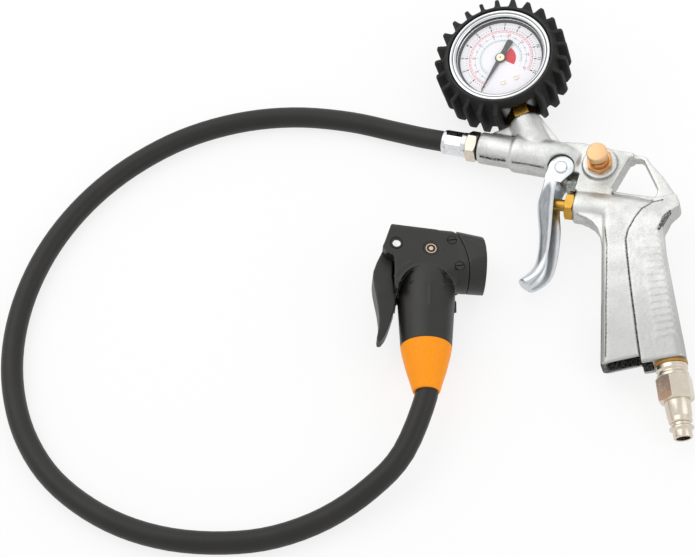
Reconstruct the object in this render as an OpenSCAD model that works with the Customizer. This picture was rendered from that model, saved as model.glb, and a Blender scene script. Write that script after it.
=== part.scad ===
// Portable tire inflator: die-cast pistol with pressure gauge, rubber hose
// and a lever-locked tire chuck. Millimetres, lying on the floor at z = 0.

/* [Gauge] */

// Outside diameter of the gauge's bezel ring
gauge_dia = 59; // [57:1:61]
// Outside diameter of the rubber boot over its lugs
boot_dia = 77; // [75:1:82]
// Number of lugs around the boot
boot_lugs = 25; // [21:1:27]
// Thickness of one lug
lug_thickness = 2.4; // [2:0.2:3.2]
// Distance from the casting's boss to the gauge's bezel
stem_gap = 7.5; // [7:0.5:9]

/* [Pistol casting] */

// Diameter of the barrel behind its step
barrel_dia = 21.6; // [21:0.2:22.4]
// Diameter of the barrel in front of its step
barrel_front_dia = 18.4; // [17.6:0.2:19.2]
// Width of the body between the trigger's ears
body_width = 12.4; // [12:0.2:12.8]
// Width of the open strut behind the body
strut_width = 7; // [6:0.5:8]
// Diameter of the valve tube
tube_dia = 18.4; // [17.6:0.2:19]
// Width of the web under the tube and of the tang
web_width = 14; // [13:0.5:15]
// Width of the grip's front channel
channel_width = 18; // [17.4:0.2:18.2]
// Width of the grip's rear duct
duct_width = 20.8; // [20:0.4:21.6]
// Width of the opening in the channel's lower end
slot_width = 13.6; // [12:0.4:14]
// Number of ribs on each side of the grip
rib_count = 16; // [12:1:17]
// Height of a rib above the grip's side
rib_height = 0.5; // [0.3:0.1:0.7]

/* [Trigger] */

// Outside width of the trigger at its ears
trigger_width = 16.4; // [16.2:0.1:17]
// Thickness of the trigger's sheet
trigger_sheet = 1.5; // [1.3:0.1:1.6]
// Diameter of the trigger's pin
pin_dia = 5; // [4.4:0.2:5.4]
// Diameter of the valve's plunger
plunger_dia = 6.6; // [6:0.2:6.8]

/* [Deflate button] */

// Diameter of the button's cap
button_dia = 11.4; // [10.6:0.2:12]
// Travel of the button
button_travel = 2.4; // [1.8:0.2:2.8]

/* [Inlet plug] */

// Hexagon of the inlet plug across its flats
plug_hex = 17; // [16:0.5:18]
// Diameter of the plug's tip
plug_tip_dia = 10; // [9.8:0.1:10.2]
// Bore of the plug
plug_bore = 7.4; // [6.8:0.2:7.6]

/* [Hose] */

// Outside diameter of the hose
hose_dia = 12; // [11.6:0.2:12.2]
// Bore of the hose
hose_bore = 6; // [5.6:0.2:6.4]
// Hexagon of the hose nut across its flats
nut_hex = 15; // [14.5:0.5:16]
// Diameter of the crimped ferrule
ferrule_dia = 14.2; // [13.8:0.2:14.8]

/* [Chuck] */

// Diameter of the chuck's nose at its end
nose_dia = 31.6; // [31:0.2:32]
// Bore of the rubber seal for the tire's valve
valve_bore = 8.2; // [8:0.1:8.6]
// Thickness of the chuck's head
head_width = 28; // [27:0.5:29]
// Diameter of the sleeve at the head
sleeve_dia = 31.4; // [30.8:0.2:31.6]
// Diameter of the orange collar at its wide end
collar_dia = 27.4; // [27:0.2:27.8]
// Width of the chuck's lever
lever_width = 15; // [14:0.5:15.6]

/* [Hidden] */

$fn = 64;
fit = 0.05;        // radial clearance of a running fit
gap = 0.3;         // clearance between parts that pass each other

// Resting pose of the pistol and of the chuck on the floor
part_at = [-98.7, -35.39, 0];
gun_at = [121.57, 66.63, 21.65];
gun_turn = [10.5, -8.2, -17.9];
chuck_at = [43.9, -21.81, 19.22];
chuck_turn = [0, 6.3, 0.9];

// Pistol: x runs back along the barrel, y up to the gauge, z to the button
barrel_front = -50.7;
barrel_step = -30.2;
barrel_y = -0.4;
barrel_bore = 7;
ledge_z = 5.8;
ledge_step = 0.22;
stem_lean = 34;
boss_foot = [-16.6, 0];
boss_length = 25.6;
boss_dia = 17.6;
boss_bore = 9.6;
pivot = [0, -7.6];
ear_r = 7.1;
tube_axis = [12, -26];
tube_rise = 4;
tube_length = 46;
tube_bore = 12.6;
chamber_length = 30;
button_at = [20.4, -1];
button_boss_dia = 19;
button_boss_top = 9;
duct_lean = 23;
duct_at = [60, -62];
duct_round = 5;
rib_r = 1.8;
channel_lean = 14.2;
channel_edge = [32.5, -45];
channel_round = 4.2;
slot_wall = 3;
plug_at = [84.7, -103.9];
plug_lean = 22.6;
plug_hex_z = 8.2;
plug_neck_z = 21.4;
plug_tip_z = 20.3;

passage_y = -13.6;
passage_seat = 10.3;
lug_r = 4.6;
passage_thread_r = 3.4;
thread_r = 6.4;
button_thread_r = 5;
plug_thread_r = 6.5;

gauge_reach = gauge_dia / 2 + stem_gap;
gauge_at = boss_foot + (boss_length + gauge_reach) * [-sin(stem_lean), cos(stem_lean)];
case_r = gauge_dia / 2 - 1;
case_back = -10.4;
case_front = 12;
bezel_front = 16.4;
dial_z = 10.2;
pointer_turn = 223;
dial_r = gauge_dia / 2 - 4.4;
movement_reach = case_r - 3.7;
boot_wall = 2.8;
lug_free = 17;
boot_base_r = gauge_dia / 2 + boot_wall;
boot_back = -14.4;
boot_front = 17.4;

// Chuck: x runs out of the nose, y up the head, z to the badge
nose_y = 23.6;
nose_end = 31.8;
nose_root = [16, 24.8];
nose_root_r = 17;
nose_drop = 0.65;
seam_at = [-27.6, 10.05];
seam_r = 50;
end_at = [-118.2, 15];
end_r = 150;
lever_pin_at = [-17, 27.2];
head_top = 38.9;
head_r = 3.2;
arch_at = [-0.8, -0.6];
arch_r = 15;
badge_at = [1.6, 24.7];
screw_at = [[13, 30.6], [17, 14.6]];
cam_low = 5.6;
clamp_stroke = 1.5;

module place_gun() translate(part_at + gun_at) rotate(gun_turn) children();
module place_chuck() translate(part_at + chuck_at) rotate(chuck_turn) children();
module along_x(x0, x1, r) translate([x0, 0, 0]) rotate([0, 90, 0]) cylinder(h = x1 - x0, r = r);
module hexagon(flats, h) cylinder(h = h, r = flats / 2 / cos(30), $fn = 6);
module plate(w) translate([0, 0, -w / 2]) linear_extrude(w) children();
module bar(p, q, r) {
    d = q - p;
    translate([p.x, p.y]) rotate(atan2(d.y, d.x)) {
        translate([0, -r]) square([norm(d), 2 * r]);
        circle(r);
        translate([norm(d), 0]) circle(r);
    }
}

// ---- Pistol casting ----

// Rounded bar along x with a softened front edge, its radius changed by d
module barrel_bar(d) {
    translate([0, barrel_y, 0]) rotate([0, 90, 0]) rotate_extrude()
        polygon([
            [0, barrel_front], [barrel_front_dia / 2 - 0.8 + d, barrel_front],
            [barrel_front_dia / 2 + d, barrel_front + 0.8],
            [barrel_front_dia / 2 + d, barrel_step - 1.4], [barrel_dia / 2 - 0.5 + d, barrel_step],
            [barrel_dia / 2 + d, barrel_step + 0.8], [barrel_dia / 2 + d, -8.6],
            [barrel_dia / 2 - 1 + d, 0], [barrel_dia / 2 - 3.4 + d, 8], [0, 10]]);
}

// The upper skin stands out over a ledge along the barrel
module barrel_shape() {
    barrel_bar(-ledge_step);
    intersection() {
        barrel_bar(ledge_step);
        translate([barrel_front - 5, -20, ledge_z]) cube([75, 40, 20]);
    }
}

module stem_frame() translate([boss_foot.x, boss_foot.y, 0]) rotate([0, 0, stem_lean])
    rotate([-90, 0, 0]) children();

module gauge_boss() {
    stem_frame() rotate_extrude() polygon([
        [0, 0], [boss_dia / 2 + 1.6, 0], [boss_dia / 2 + 1.2, 8], [boss_dia / 2 + 0.4, 13],
        [boss_dia / 2, 18], [boss_dia / 2, boss_length - 1.2],
        [boss_dia / 2 - 1.2, boss_length], [0, boss_length]]);
    plate(3) polygon([[-47.2, 4], [-47.2, 8.6], [-38.2, 15.6], [-30, 14], [-20, 2]]);
    plate(6) polygon([[-24, 25.6], [-22.6, 24.8], [-5.6, 10], [-5.6, 4], [-18, 4]]);
}

// Window behind the body
module window_outline() polygon([[34.6, 6], [35.8, 6.8], [41.2, 7.6], [42.6, 7.2], [53.6, -7.2],
    [54.4, -9], [54.4, -12], [53.6, -13.2], [31, -14.2], [29.8, -13.2]]);

// Solid middle of the body, between the trigger's ears
module body_outline() {
    difference() {
        polygon([[-12, 8], [7.8, 10.6], [27.5, 9.7], [37, 9.9], [37, 4.6], [31, -14.8], [30, -17], [16, -18.6],
            [passage_seat, -18.2], [passage_seat, -8], [4, -7.8], [-4, -8.6], [-12, -4]]);
        window_outline();
    }
    translate(pivot) circle(lug_r);
}

// Open strut and the tang over the hand
module strut_outline() {
    difference() {
        union() {
            polygon([[24, 9.8], [42.4, 9.9], [55.7, -0.6], [64.7, -9.9], [68.6, -15.4],
                [68.4, -17.2], [64.3, -21.6], [62.2, -28.7], [50, -30], [24, -20]]);
            translate([41.6, 5.6]) circle(4.4);
        }
        window_outline();
    }
}

// The tang widens to the grip's full width
module tang_outline() {
    polygon([[53.6, -15.6], [60, -12.4], [65.4, -10.6], [68.6, -15.4], [68.4, -17.2],
        [64.3, -21.6], [62.2, -28.7], [65.8, -41.3], [46.2, -43.3], [47.6, -35.2],
        [51.3, -28.3], [55.4, -22.6]]);
}

module duct_outline() {
    polygon([[50, -30], [47.7, -30.4], [45.9, -37.7], [46, -43.1], [49.9, -54], [54.9, -67.6],
        [60.1, -81.5], [65.2, -95], [70.9, -109.4], [72.4, -109], [93.1, -100.4], [92, -98],
        [85.6, -84.4], [76.1, -63], [66.6, -41.3], [63.2, -31.4], [60, -26]]);
}

// Upper end of the duct, running out into the tang
module neck_outline() {
    polygon([[62.4, -13.6], [59.4, -15.7], [54.4, -18.2], [50.1, -23.7], [47.6, -30.4],
        [46.4, -35.8], [56, -40], [62.6, -32], [62.7, -28.8], [64.6, -21.9], [68, -17.6], [68, -15.8]]);
}

// Web under the tube, in front of the channel
module web_outline() {
    polygon([[16, -33], [20.4, -33.8], [25, -35.6], [28.8, -38.8], [31.2, -43], [33.4, -48],
        [50, -60], [50, -22], [20, -22]]);
}

module channel_outline() {
    polygon([[27, -27.4], [48.2, -116], [69.2, -105.9], [72, -106], [64, -84], [56, -40],
        [52, -24], [40, -23]]);
}

// Long bar beside the channel's rounded front edge, for the channel and its opening
module channel_bar(w, r, inset) translate([channel_edge.x, channel_edge.y, 0])
    rotate([0, 0, channel_lean]) rotate([90, 0, 0]) translate([inset, 0, -40])
        linear_extrude(120) {
            translate([r, -w / 2]) square([60, w]);
            translate([0, -w / 2 + r]) square([59, w - 2 * r]);
            for (b = [-1, 1]) translate([r, b * (w / 2 - r)]) circle(r);
        }

module channel_shape() {
    plate(web_width) web_outline();
    intersection() {
        plate(channel_width + 1) channel_outline();
        channel_bar(channel_width, channel_round, 0);
    }
}

module tube_shape() {
    translate([tube_axis.x, tube_axis.y, 0]) rotate([0, 0, tube_rise]) rotate([0, 90, 0])
        rotate_extrude() polygon([
            [0, 0], [tube_dia / 2 - 0.8, 0], [tube_dia / 2, 0.8],
            [tube_dia / 2, tube_length - 16], [tube_dia / 2 - 2, tube_length + 2],
            [0, tube_length + 2]]);
}

// Duct with a rounded rear edge; its upper end thins out into the tang
module duct_shape() {
    intersection() {
        plate(duct_width) duct_outline();
        translate([duct_at.x, duct_at.y, 0]) rotate([0, 0, duct_lean]) rotate([90, 0, 0])
            translate([0, 0, -50]) linear_extrude(110) duct_section();
    }
    intersection() {
        plate(duct_width) neck_outline();
        rotate([0, 90, 0]) translate([0, 0, 40]) linear_extrude(40)
            polygon([[-12.4, -50], [-12.4, -34], [-6.2, -12], [6.2, -12], [12.4, -34], [12.4, -50]]);
    }
}

module duct_section() {
    translate([-30, -duct_width / 2 - 1]) square([45 - duct_round, duct_width + 2]);
    translate([-30, -duct_width / 2 + duct_round]) square([45, duct_width - 2 * duct_round]);
    for (b = [-1, 1]) translate([15 - duct_round, b * (duct_width / 2 - duct_round)]) circle(duct_round);
}

module grip_ribs() {
    for (i = [0 : rib_count - 1], side = [-1, 1]) {
        t = i / (rib_count - 1);
        a = [52.9, -38.4] + t * [22.6, -55.6];
        b = [62.4, -36.4] + t * [22.6, -53.2];
        translate([0, 0, side * (duct_width / 2 + rib_height - rib_r)]) rib_bar(a, b);
    }
}

module rib_bar(a, b) {
    d = b - a;
    translate([a.x, a.y, 0]) rotate([0, 0, atan2(d.y, d.x)]) rotate([0, 90, 0])
        cylinder(h = norm(d), r = rib_r, $fn = 24);
}

module casting_solid() {
    barrel_shape();
    gauge_boss();
    plate(body_width) body_outline();
    plate(strut_width) strut_outline();
    plate(web_width) tang_outline();
    channel_shape();
    duct_shape();
    tube_shape();
    grip_ribs();
    for (side = [-1, 1]) translate([button_at.x, button_at.y, 0]) mirror([0, 0, side < 0 ? 1 : 0])
        cylinder(h = side > 0 ? button_boss_top : body_width / 2 + 0.6, r = button_boss_dia / 2);
}

module plug_frame() translate([plug_at.x, plug_at.y, 0]) rotate([0, 0, plug_lean])
    rotate([90, 0, 0]) children();

module tube_frame() translate([tube_axis.x, tube_axis.y, 0]) rotate([0, 0, tube_rise])
    rotate([0, 90, 0]) children();

module pistol_body() color("silver") place_gun() difference() {
    casting_solid();
    // air passage along the barrel
    translate([0, barrel_y, 0]) along_x(barrel_front - 1, 8, barrel_bore / 2);
    translate([0, barrel_y, 0]) along_x(barrel_front - 1, barrel_front + 11, thread_r + fit);
    // gauge thread
    stem_frame() translate([0, 0, 4]) cylinder(h = boss_length, r = 2);
    stem_frame() translate([0, 0, boss_length - 10]) cylinder(h = 11, r = boss_bore / 2 + fit);
    // pin hole
    translate([pivot.x, pivot.y, -12]) cylinder(h = 24, r = pin_dia / 2 + fit);
    // valve chamber, its gland thread and the way to the duct
    tube_frame() translate([0, 0, -1]) cylinder(h = chamber_length + 1, r = tube_bore / 2);
    tube_frame() translate([0, 0, 10]) cylinder(h = tube_length - 14, r = 3);
    // passage from the chamber up to the barrel, closed by the side plug
    translate([0, passage_y, 0]) along_x(-10, 22, 2.2);
    translate([0, passage_y, 0]) along_x(8, passage_seat + 4.2, passage_thread_r + fit);
    ear_pockets();
    translate([20, barrel_y - 26, 0]) rotate([-90, 0, 0]) cylinder(h = 25, r = 1.7);
    // deflate valve
    translate([button_at.x, button_at.y, -2]) cylinder(h = 20, r = button_thread_r + fit);
    // air duct down the grip to the inlet
    plug_frame() translate([0, 0, -84]) cylinder(h = 74, r = 4.5);
    plug_frame() translate([0, 0, -11]) cylinder(h = 12, r = plug_thread_r + fit);
    // opening in the channel's lower end
    slot_cut();
}

// Room for the trigger's ears on both sides of the body
module ear_pockets() {
    for (side = [-1, 1]) translate([0, 0, side * (trigger_width / 2 - trigger_sheet - gap + 4)])
        linear_extrude(8, center = true) {
            translate(pivot) circle(ear_r + 0.7);
            polygon([[-9, -30], [-8, -7], [0, -2], [7.6, -7], [8, -16], [8, -30]]);
        }
}

module slot_cut() intersection() {
    plate(slot_width + 1) polygon([[46, -122], [78, -112], [76.4, -107.4], [62.6, -74.1],
        [58, -72], [46, -72], [42, -80]]);
    channel_bar(slot_width, 3.4, slot_wall);
}

// ---- Trigger group ----

// Side outline of the trigger: ears, straight shank and curled tip
module trigger_outline() {
    translate(pivot) circle(ear_r);
    polygon([[-7, -6.4], [-7.3, -10], [-7.6, -15], [-8, -24], [-8.6, -29.5], [-6.5, -37.2],
        [-2.4, -47.6], [-0.4, -56.9], [0, -64], [-1, -68.5], [-4, -73], [-7, -76], [-6.6, -78],
        [-4.5, -79.2], [0.4, -80], [4.6, -77.2], [7.6, -73], [9.2, -66], [9, -57], [7, -43.5],
        [4.4, -33], [2.2, -29], [1.2, -22], [0.8, -15.5], [4, -12.6], [6, -10]]);
}

// Space between the flanges, open to the rear
module trigger_inside() {
    polygon([[-12, 4], [-12, -9.5], [-5.8, -13.4], [-6.1, -15.5], [-6.5, -24], [-7, -29.2],
        [-5, -36.8], [-0.9, -47.2], [1.1, -56.6], [1.5, -64.2], [0.6, -69], [-1.2, -72],
        [6, -75], [12, -72], [14, -60], [12, 4]]);
}

// The near flange is cut shallower than the far one
module near_flange_cut() translate([0, 0, 2]) linear_extrude(10)
    polygon([[-0.2, -16.7], [2.9, -34.9], [4.8, -45.7], [6.5, -56.4], [6.8, -64.5],
        [5.6, -70.6], [16, -73], [16, -16.7]]);

module trigger_lever() color("silver") place_gun() difference() {
    intersection() {
        plate(trigger_width) trigger_outline();
        // front view: ears parallel, shank narrowing to the tip
        rotate([0, 90, 0]) translate([0, 0, -12]) linear_extrude(30) polygon([
            [-trigger_width / 2, 2], [-trigger_width / 2, -34], [-6.3, -66], [-5.8, -76], [-4.6, -79],
            [-2, -80.4], [2, -80.4], [4.6, -79], [5.8, -76], [6.3, -66], [trigger_width / 2, -34],
            [trigger_width / 2, 2]]);
    }
    intersection() {
        plate(trigger_width - 2 * trigger_sheet) trigger_inside();
        rotate([0, 90, 0]) translate([0, 0, -14]) linear_extrude(30) polygon([
            [-trigger_width / 2, 6], [-trigger_width / 2, -34], [-6.3 + trigger_sheet, -66],
            [-4.2, -74], [4.2, -74], [6.3 - trigger_sheet, -66], [trigger_width / 2, -34],
            [trigger_width / 2, 6]]);
    }
    near_flange_cut();
    translate([pivot.x, pivot.y, -12]) cylinder(h = 24, r = pin_dia / 2 + fit);
}

module trigger_pin() color("silver") place_gun() translate([pivot.x, pivot.y, 0]) rotate_extrude()
    polygon([
        [0, -trigger_width / 2 - 1.2], [3, -trigger_width / 2 - 1.2], [3.6, -trigger_width / 2 - 0.7],
        [3.6, -trigger_width / 2 - 0.05], [pin_dia / 2, -trigger_width / 2 - 0.05],
        [pin_dia / 2, trigger_width / 2 + 0.05], [3.6, trigger_width / 2 + 0.05],
        [3.6, trigger_width / 2 + 0.7], [3, trigger_width / 2 + 1.2], [0, trigger_width / 2 + 1.2]]);

// ---- Valve in the tube ----

gland_hex = 14;
gland_thick = 5;
spring_z = [12.4, 25];

module gland_nut() color("gold") place_gun() tube_frame() difference() {
    union() {
        translate([0, 0, -gland_thick]) hexagon(gland_hex, gland_thick - 0.1);
        translate([0, 0, -1]) cylinder(h = 9, r = tube_bore / 2 - fit);
    }
    translate([0, 0, -6]) cylinder(h = 16, r = plunger_dia / 2 + fit);
}

module valve_plunger() color("gold") place_gun() tube_frame() {
    translate([0, 0, -18]) cylinder(h = 1, r1 = plunger_dia / 2 - 1, r2 = plunger_dia / 2);
    translate([0, 0, -17]) cylinder(h = 24.2, r = plunger_dia / 2);
    translate([0, 0, 7]) cylinder(h = 3.4, r = 1.6);
    translate([0, 0, 8.6]) cylinder(h = 1.6, r = 4.6);
}

module valve_seal() color("black") place_gun() tube_frame() translate([0, 0, 10.25]) difference() {
    cylinder(h = 2, r = 5.2);
    translate([0, 0, -1]) cylinder(h = 4, r = 1.7);
}

module coil(r, wire, z0, z1, turns) {
    // flat rings stand for the wound turns
    step = (z1 - z0 - wire) / (turns - 1);
    for (i = [0 : turns - 1]) translate([0, 0, z0 + wire / 2 + i * step])
        rotate_extrude() translate([r, 0]) circle(wire / 2, $fn = 16);
    for (i = [0 : turns - 2]) rotate([0, 0, i * 180]) translate([r, 0, z0 + wire / 2 + i * step])
        cylinder(h = step, r = wire / 2 - 0.05, $fn = 16);
}

module valve_spring() color("silver") place_gun() tube_frame()
    coil(4.2, 0.9, spring_z[0], spring_z[1], 6);

// ---- Side plug of the air passage ----

module passage_plug() color("dimgray") place_gun() translate([0, passage_y, 0]) rotate([0, 90, 0]) {
    translate([0, 0, passage_seat - 5.6]) rotate([0, 0, 30]) hexagon(9, 5.55);
    translate([0, 0, passage_seat - 1]) cylinder(h = 5, r = passage_thread_r);
}

// ---- Deflate valve ----

module button_frame() translate([button_at.x, button_at.y, 0]) children();

module button_seat() color("gold") place_gun() button_frame() difference() {
    union() {
        translate([0, 0, button_boss_top + 0.05]) hexagon(13, 3.4);
        translate([0, 0, button_boss_top + 3.3]) cylinder(h = 2.2, r1 = 5.4, r2 = 4.7);
        cylinder(h = button_boss_top + 1, r = button_thread_r);
    }
    translate([0, 0, button_spring_foot]) cylinder(h = 20, r = 3 + fit);
}

module deflate_button() color("gold") place_gun() button_frame() {
    translate([0, 0, 5]) cylinder(h = 13.4, r = 3);
    translate([0, 0, 15.2 + button_travel]) rotate_extrude() polygon([
        [0, 0], [button_dia / 2 - 0.4, 0], [button_dia / 2, 0.4], [button_dia / 2, 3.6],
        [button_dia / 2 - 0.9, 4.6], [0, 4.8]]);
}

button_spring_foot = 1;

module button_spring() color("silver") place_gun() button_frame()
    coil(2.2, 0.7, button_spring_foot, 4.95, 4);

// ---- Gauge ----

module gauge_frame() translate([gauge_at.x, gauge_at.y, 0]) rotate([0, 0, stem_lean]) children();

module gauge_connector() color("gold") place_gun() stem_frame() difference() {
    union() {
        translate([0, 0, boss_length - 9]) cylinder(h = 9 + 1, r = boss_bore / 2);
        translate([0, 0, boss_length + 0.1]) hexagon(14, 6.2);
        translate([0, 0, boss_length + 6]) cylinder(h = gauge_reach - 6 - movement_reach, r = 5);
    }
    translate([0, 0, boss_length - 10]) cylinder(h = 16 + gauge_reach, r = 1.4);
}

module gauge_case() color("dimgray") place_gun() difference() {
    gauge_frame() difference() {
        translate([0, 0, case_back]) cylinder(h = case_front - case_back, r = case_r);
        translate([0, 0, case_back + 1.2]) cylinder(h = 40, r = case_r - 1.2);
    }
    stem_frame() cylinder(h = boss_length + gauge_reach, r = 5 + fit);
}

module gauge_bezel() color("silver") place_gun() gauge_frame() rotate_extrude() polygon([
    [case_r + fit, 8], [gauge_dia / 2 + 0.1, 8], [gauge_dia / 2 + 0.1, bezel_front - 1.2],
    [gauge_dia / 2 - 0.5, bezel_front - 0.2], [gauge_dia / 2 - 1.1, bezel_front],
    [gauge_dia / 2 - 1.9, bezel_front - 0.15], [gauge_dia / 2 - 2.3, bezel_front - 0.55],
    [gauge_dia / 2 - 2.7, bezel_front - 0.35], [gauge_dia / 2 - 3.4, bezel_front - 0.45],
    [gauge_dia / 2 - 4.4, bezel_front - 1.3], [gauge_dia / 2 - 4.4, bezel_front - 1.8],
    [gauge_dia / 2 - 2.8, bezel_front - 1.2], [case_r + fit, bezel_front - 2.2]]);

module gauge_rim() color("black") place_gun() gauge_frame() difference() {
    translate([0, 0, dial_z + 0.9]) cylinder(h = 2, r = case_r - 1.3);
    translate([0, 0, dial_z]) cylinder(h = 5, r = dial_r - 0.9);
}

module gauge_lens() color([0.8, 0.9, 1, 0.35]) place_gun() gauge_frame()
    translate([0, 0, dial_z + 2.95]) cylinder(h = 1.4, r = case_r - 1.25);

module gauge_dial() color("white") place_gun() gauge_frame() difference() {
    translate([0, 0, dial_z]) cylinder(h = 0.8, r = case_r - 1.4);
    translate([0, 0, dial_z - 1]) cylinder(h = 3, r = 1.3);
}

module gauge_pointer() color("black") place_gun() gauge_frame() {
    translate([0, 0, 3]) cylinder(h = dial_z - 1.7, r = 1);
    translate([0, 0, dial_z + 1.2]) cylinder(h = 0.9, r = 2.6);
    translate([0, 0, dial_z + 1.8]) rotate([0, 0, pointer_turn]) linear_extrude(0.5) polygon([
        [0, 1.3], [10, 0.9], [dial_r - 2.6, 0.25], [dial_r - 2.6, -0.25], [10, -0.9], [0, -1.3],
        [-11.4, -1.9], [-12.4, -1.2], [-12.6, 0], [-12.4, 1.2], [-11.4, 1.9]]);
}

module dial_screws() color("silver") place_gun() gauge_frame() for (x = [-3.6, 4.4])
    translate([x, -15.2, dial_z + 0.82]) difference() {
        cylinder(h = 0.6, r = 1.5);
        translate([-2, -0.25, 0.3]) cube([4, 0.5, 1]);
    }

module bourdon_tube() color("gold") place_gun() gauge_frame() translate([0, 0, 1]) {
    rotate([0, 0, -76]) rotate_extrude(angle = 250) translate([19.6, 0]) square([1.8, 6], center = true);
    translate([4.3, -20.2, -2.5]) cube([1.6, 1.9, 5]);
}

module gauge_movement() color("gold") place_gun() gauge_frame() {
    translate([-7, -12, -4]) cube([14, 22, 1.2]);
    translate([-7, -12, 4]) difference() {
        cube([14, 22, 1.2]);
        translate([7, 12, -1]) cylinder(h = 4, r = 1 + fit);
    }
    for (x = [-5, 5], y = [-10, 8]) translate([x, y, -3.4]) cylinder(h = 8, r = 1.2, $fn = 24);
    translate([-4, -movement_reach, -3.2]) cube([8, movement_reach - 10, 6.4]);
    for (x = [-4.2, 4.2]) translate([x, -13.6, -3.2]) cylinder(h = dial_z + 3.2, r = 1.2, $fn = 24);
}

// ---- Rubber boot ----

module boot_lug() translate([boot_base_r - 1, -lug_thickness / 2, boot_back])
    cube([boot_dia / 2 - boot_base_r + 1.2, lug_thickness, boot_front - boot_back]);

// The lugs leave out the stem's side of the boot
lug_angles = [for (i = [0 : boot_lugs - 1]) let (a = i * 360 / boot_lugs + 3)
    if (abs(a - 270) > lug_free) a];

module rubber_boot() color("black") place_gun() difference() {
    gauge_frame() {
        difference() {
            rotate_extrude() polygon([
                [20, boot_back], [boot_base_r - 3, boot_back], [boot_base_r, boot_back + 2.6],
                [boot_base_r, boot_front - 2.4], [boot_base_r - 1.6, boot_front],
                [gauge_dia / 2 + 0.6, boot_front], [gauge_dia / 2 + 0.2, boot_front - 0.6],
                [gauge_dia / 2 + 0.2, 7.7], [case_r + 0.05, 7.7],
                [case_r + 0.05, case_back - 0.05], [20, case_back - 0.05]]);
        }
        intersection() {
            for (a = lug_angles) rotate([0, 0, a]) boot_lug();
            rotate_extrude() polygon([
                [boot_base_r - 1, boot_back + 1], [boot_dia / 2 - 3, boot_back + 1],
                [boot_dia / 2, boot_back + 7], [boot_dia / 2, boot_front - 4.6],
                [boot_dia / 2 - 0.8, boot_front - 3.4], [boot_base_r - 1, boot_front - 1.4]]);
        }
    }
    // opening for the stem
    stem_frame() translate([0, 0, 4]) linear_extrude(gauge_reach + boss_length - case_r + 1)
        square([boss_dia + 4, boss_dia + 1], center = true);
}

// ---- Inlet plug ----

module inlet_washer() color("darkgoldenrod") place_gun() plug_frame() difference() {
    translate([0, 0, 0.05]) cylinder(h = 1.5, r = 8.8);
    translate([0, 0, -1]) cylinder(h = 4, r = plug_thread_r + 0.2);
}

// Distances are measured from the port's face
module inlet_plug() color("silver") place_gun() plug_frame() difference() {
    union() {
        translate([0, 0, -9.5]) cylinder(h = 12, r = plug_thread_r);
        translate([0, 0, 1.6]) rotate_extrude() polygon([
            [0, 0], [8.4, 0], [8.4, 3], [7.6, 3.6], [7.6, 4.4], [8.6, 5], [8.6, 6.8], [0, 6.8]]);
        intersection() {
            translate([0, 0, plug_hex_z]) rotate([0, 0, 10]) hexagon(plug_hex, 13.2);
            translate([0, 0, plug_hex_z]) rotate_extrude() polygon([
                [0, 0], [plug_hex / 2 + 0.3, 0], [plug_hex / 2 + 1.4, 0.8],
                [plug_hex / 2 + 1.4, 11.8], [plug_hex / 2, 13.2], [0, 13.2]]);
        }
        translate([0, 0, plug_neck_z]) rotate_extrude() polygon([
            [0, -1], [7, -1], [6.9, 0.6], [6.5, 8.4], [6.2, 9], [6.2, 11.4], [5.6, 12],
            [4.9, 12.2], [4.9, 13.6], [6, 14], [6.4, 14.4], [6.4, 15.2], [plug_tip_dia / 2, 16.4],
            [plug_tip_dia / 2, plug_tip_z], [plug_tip_dia / 2 - 0.6, plug_tip_z + 0.6],
            [0, plug_tip_z + 0.6]]);
    }
    translate([0, 0, -10]) cylinder(h = 60, r = plug_bore / 2);
}

// ---- Hose fitting ----

module barrel_line() translate([0, barrel_y, 0]) rotate([0, 90, 0]) children();

module hose_seal() color("black") place_gun() barrel_line() difference() {
    translate([0, 0, barrel_front - 1.05]) cylinder(h = 1, r = nut_hex / 2 - 0.2);
    translate([0, 0, barrel_front - 2]) cylinder(h = 4, r = thread_r + 0.2);
}

module hose_nut() color("silver") place_gun() barrel_line() difference() {
    union() {
        translate([0, 0, barrel_front - 7.3]) hexagon(nut_hex, 6.2);
        translate([0, 0, barrel_front - 1.2]) cylinder(h = 10, r = thread_r);
    }
    translate([0, 0, barrel_front - 9]) cylinder(h = 20, r = hose_bore / 2 - 0.8);
}

ferrule_back = barrel_front - 7.35;
ferrule_length = 14.6;
collar_end = -55;

module hose_ferrule() color("silver") place_gun() barrel_line()
    translate([0, 0, ferrule_back - ferrule_length]) difference() {
        union() {
            cylinder(h = 2, r1 = ferrule_dia / 2 - 0.3, r2 = ferrule_dia / 2);
            translate([0, 0, 2]) cylinder(h = ferrule_length - 5, r = ferrule_dia / 2 - 0.5, $fn = 12);
            translate([0, 0, ferrule_length - 3]) cylinder(h = 3, r = ferrule_dia / 2);
        }
        translate([0, 0, -1]) cylinder(h = ferrule_length - 0.5, r = hose_dia / 2 + fit);
        cylinder(h = 40, r = hose_bore / 2);
    }

module hose_tail() color("gold") place_gun() barrel_line()
    translate([0, 0, ferrule_back - 12.4]) difference() {
        union() {
            for (i = [0 : 3]) translate([0, 0, i * 2.8])
                cylinder(h = 2.8, r1 = hose_bore / 2 - 0.7, r2 = hose_bore / 2 - 0.05);
            translate([0, 0, 11]) cylinder(h = 1.35, r = hose_bore / 2 - 0.05);
        }
        translate([0, 0, -1]) cylinder(h = 20, r = 1.6);
    }

// ---- Hose ----

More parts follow.
